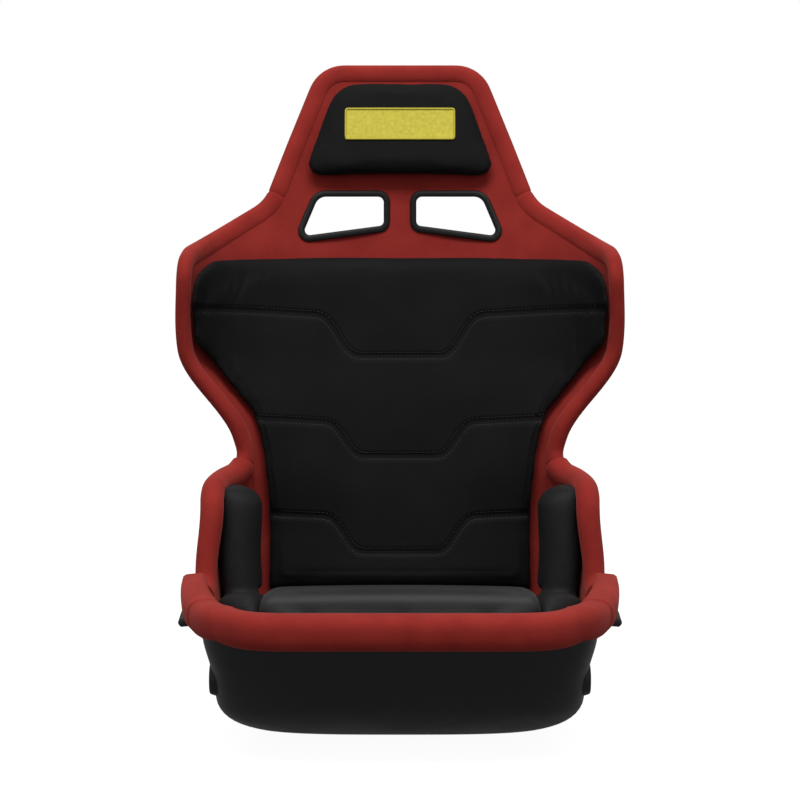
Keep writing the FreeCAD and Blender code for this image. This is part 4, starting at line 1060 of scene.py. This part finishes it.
patch_weave, tree, shader = node_material("yellow_weave")
place = tree.nodes.new("ShaderNodeTexCoord")
threads = []
for direction in ("X", "Z"):
    wave = tree.nodes.new("ShaderNodeTexWave")
    wave.bands_direction = direction
    wave.inputs["Scale"].default_value = 260.0
    tree.links.new(place.outputs["Object"], wave.inputs["Vector"])
    threads.append(wave.outputs["Fac"])
crossed = tree.nodes.new("ShaderNodeMath")
crossed.operation = "ADD"
tree.links.new(threads[0], crossed.inputs[0])
tree.links.new(threads[1], crossed.inputs[1])
vary(tree, shader, "Base Color", noise(tree, 220.0), (0.56, 0.48, 0.040), (0.70, 0.62, 0.062))
shader.inputs["Roughness"].default_value = 0.7
bump(tree, shader, crossed.outputs[0], 0.0004, 0.5)
overlock, tree, shader = node_material("yellow_overlock")
place = tree.nodes.new("ShaderNodeTexCoord")
wave = tree.nodes.new("ShaderNodeTexWave")
wave.bands_direction = "DIAGONAL"
wave.inputs["Scale"].default_value = 190.0
tree.links.new(place.outputs["Object"], wave.inputs["Vector"])
# The colour follows the same wave as the relief, darker in the grooves between the wraps: painted shade.
vary(tree, shader, "Base Color", wave.outputs["Fac"], (0.42, 0.35, 0.025), (0.66, 0.57, 0.05), 0.2, 0.8)
shader.inputs["Roughness"].default_value = 0.6
bump(tree, shader, wave.outputs["Fac"], 0.0006, 0.7)
PATCH_HALF, PATCH_LOW, PATCH_HIGH, PATCH_BACKING = 76.0, 767.0, 809.0, 1.2
PATCH_LIFT, BORDER_LIFT, BORDER_RADIUS, PATCH_CORNER = 1.0, 1.1, 1.5, 2.5
patch_x, patch_z = np.meshgrid(np.linspace(-PATCH_HALF, PATCH_HALF, 77), np.linspace(PATCH_LOW, PATCH_HIGH, 22))
patch_y = face_y(headrest, patch_x, patch_z)
face = np.stack([patch_x, patch_y - PATCH_LIFT, patch_z], axis=-1)
patch_rings = np.concatenate([face, (face + np.array([0.0, PATCH_BACKING, 0.0]))[:, ::-1]], axis=1)
patch = closed_form("headrest_patch_weave", patch_rings)
patch.data.materials.append(patch_weave)
patch_corners = [(-PATCH_HALF, PATCH_LOW), (PATCH_HALF, PATCH_LOW), (PATCH_HALF, PATCH_HIGH), (-PATCH_HALF, PATCH_HIGH)]
edge = rounded(patch_corners, [PATCH_CORNER] * 4, 15.0)
edge = evenly(np.insert(np.concatenate([edge, edge[:1]]), 1, 0.0, axis=1), 2.0)[:-1]
edge[:, 1] = face_y(headrest, edge[:, 0], edge[:, 2]) - BORDER_LIFT
tube = thread_tube(edge, BORDER_RADIUS)
border = outwards(piece("border", tube, quads(*tube.shape[:2], closed_rows=True)))
border.data.materials.append(overlock)
joined("headrest_patch_weave", [patch, border])
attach(patch, "root")
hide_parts("headrest_patch")


# Edge mouldings: a black extruded rubber strip under the outer edge of each thigh roll, pressed on the shell's
# edge. Its section is (stand-off from the wall, lift past the edge), and it gets slimmer towards its ends.
rubber, tree, shader = node_material("black_rubber")
vary(tree, shader, "Base Color", noise(tree, 80.0), (0.006, 0.006, 0.006), (0.010, 0.010, 0.010))
shader.inputs["Roughness"].default_value = 0.7
bump(tree, shader, noise(tree, 1100.0, 2.0), 0.0002, 0.3)
MOULDING = rounded([(-3.4, -25.0), (-3.4, -14.0), (-38.0, -14.0), (-41.0, -19.5), (-38.0, -25.0)],
                   [1.0, 1.5, 3.0, 3.5, 3.0], 15.0)
MOULDING_FOOT, MOULDING_MIDDLE, MOULDING_FRONT = -3.4, -18.5, -108.0
stations = np.linspace(rim_at[np.argmax(rim[:, 1] > MOULDING_FRONT)], WING_START - 6.0, 30)
frames = [np.stack([np.interp(stations, rim_at, values[:, axis]) for axis in range(3)], axis=-1)
          for values in (rim, rim_normal, rim_beyond)]
slim = np.minimum(1.0, 0.55 + np.minimum(stations - stations[0], stations[-1] - stations) / 9.0)[:, None]
stand_off = MOULDING_FOOT + (MOULDING[:, 0] - MOULDING_FOOT)[None, :] * (0.7 + 0.3 * slim)
lift = MOULDING_MIDDLE + (MOULDING[:, 1] - MOULDING_MIDDLE)[None, :] * slim
moulding_rings = (frames[0][:, None, :] + unit(frames[1])[:, None, :] * stand_off[:, :, None]
                  + unit(frames[2])[:, None, :] * lift[:, :, None])
for label, side in (("left", -1), ("right", 1)):
    strip = closed_form(f"edge_moulding_{label}_rubber", moulding_rings * np.array([side, 1.0, 1.0]))
    strip.data.set_sharp_from_angle(angle=math.radians(50))
    strip.data.materials.append(rubber)
    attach(strip, "root")
    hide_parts("edge_moulding_" + label)


# Base foam: a dense closed-cell block that fills the tub's floor under the seat cushion. It is cut to the tub's
# form, and round the mount bosses, and lies in the tub by its own weight.
dark_foam, tree, shader = node_material("dark_foam")
vary(tree, shader, "Base Color", noise(tree, 300.0), (0.012, 0.012, 0.012), (0.03, 0.03, 0.03))
shader.inputs["Roughness"].default_value = 0.95
bump(tree, shader, noise(tree, 700.0, 3.0), 0.0006, 0.6)
FOAM_GAP, FOAM_TOP = 0.6, 87.6
base_levels = np.concatenate([WALL + FOAM_GAP + (SIDE_RADIUS - FOAM_GAP) * (1 - np.cos(quarter_turn)),
                              [80.0, 85.6, 87.0, FOAM_TOP]])
base_inset = np.array([FOAM_GAP] * (len(quarter_turn) + 2) + [1.2, 2.8])
base_rings = np.concatenate([level_rings(np.array([level]), inset, 120)
                             for level, inset in zip(base_levels, base_inset)])
base_foam = closed_form("seat_base_foam_block", base_rings)
ahead_of_back = np.array([(-420.0, -9.0), (90.0, -9.0), (90.0, 120.0), (-420.0, 120.0)])
trimmed(base_foam, "INTERSECT", prism("rear", ahead_of_back, "X", -400.0, 400.0))
BOSS_ROOM = [(-33.0, 25.0), (5.0, 25.0)]
for side in (-1, 1):
    for y in MOUNT_YS:
        trimmed(base_foam, "DIFFERENCE", turned("room", BOSS_ROOM, (side * MOUNT_FACE, y, MOUNT_Z), side))
base_foam.data.set_sharp_from_angle(angle=math.radians(40))
base_foam.data.materials.clear()
base_foam.data.materials.append(dark_foam)
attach(base_foam, "root")
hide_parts("seat_base_foam")


# Hook-and-loop strips: black nylon tape, 25 mm wide and 2 mm thick with the pile, glued on the lining behind the
# upright cushions and on the base foam under the seat cushion.
tape_nylon, tree, shader = node_material("hook_and_loop")
vary(tree, shader, "Base Color", noise(tree, 500.0), (0.010, 0.010, 0.010), (0.024, 0.024, 0.024))
shader.inputs["Roughness"].default_value = 0.9
bump(tree, shader, noise(tree, 1500.0, 2.0), 0.0010, 0.8)
TAPE_LOW, TAPE_HIGH, TAPE_EDGE, FOAM_TAPE_Z = LINING + 0.2, LINING + 2.2, 0.5, FOAM_TOP + 0.2


def tape(across, along, placed):
    """A closed strip: placed(across, along, inset) gives its points, and its edges are a little rounded."""
    inner = np.clip(across, across[0] + TAPE_EDGE, across[-1] - TAPE_EDGE)
    return np.stack([np.concatenate([placed(across, level, TAPE_LOW), placed(inner[::-1], level, TAPE_HIGH)])
                     for level in along])


def on_rear(across, level, inset):
    """Points across the back at a level, as far in front of the wall as the inset."""
    return np.stack([across, wall_y(across, level, inset), np.full(len(across), level)], axis=-1)


def on_side(across, level, inset):
    """Points along the side wall at a level."""
    return np.stack([wall_x(across, level, inset), across, np.full(len(across), level)], axis=-1)


def on_foam(across, along, inset):
    """Points across the base foam's top at a distance along it."""
    height = FOAM_TAPE_Z - TAPE_LOW + inset
    return np.stack([across, np.full(len(across), along), np.full(len(across), height)], axis=-1)


back_tape = tape(np.linspace(50.0, 75.0, 6), np.linspace(190.0, 560.0, 60), on_rear)
side_tape = tape(np.linspace(35.0, 60.0, 6), np.linspace(185.0, 280.0, 20), on_side)
seat_tape = tape(np.linspace(77.5, 102.5, 4), np.linspace(-160.0, 60.0, 4), on_foam)
tapes = {
    "back_cushion_strips": [back_tape, back_tape * flip],
    "headrest_strip": [tape(np.linspace(-80.0, 80.0, 30), np.linspace(765.0, 790.0, 6), on_rear)],
    "side_pad_strip_left": [side_tape * flip],
    "side_pad_strip_right": [side_tape],
    "seat_cushion_strips": [seat_tape, seat_tape * flip],
}
for node, parts in tapes.items():
    strips = joined(node + "_tape", [closed_form("tape", rings) for rings in parts])
    strips.data.set_sharp_from_angle(angle=math.radians(40))
    strips.data.materials.append(tape_nylon)
    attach(strips, "root")
    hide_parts(node)
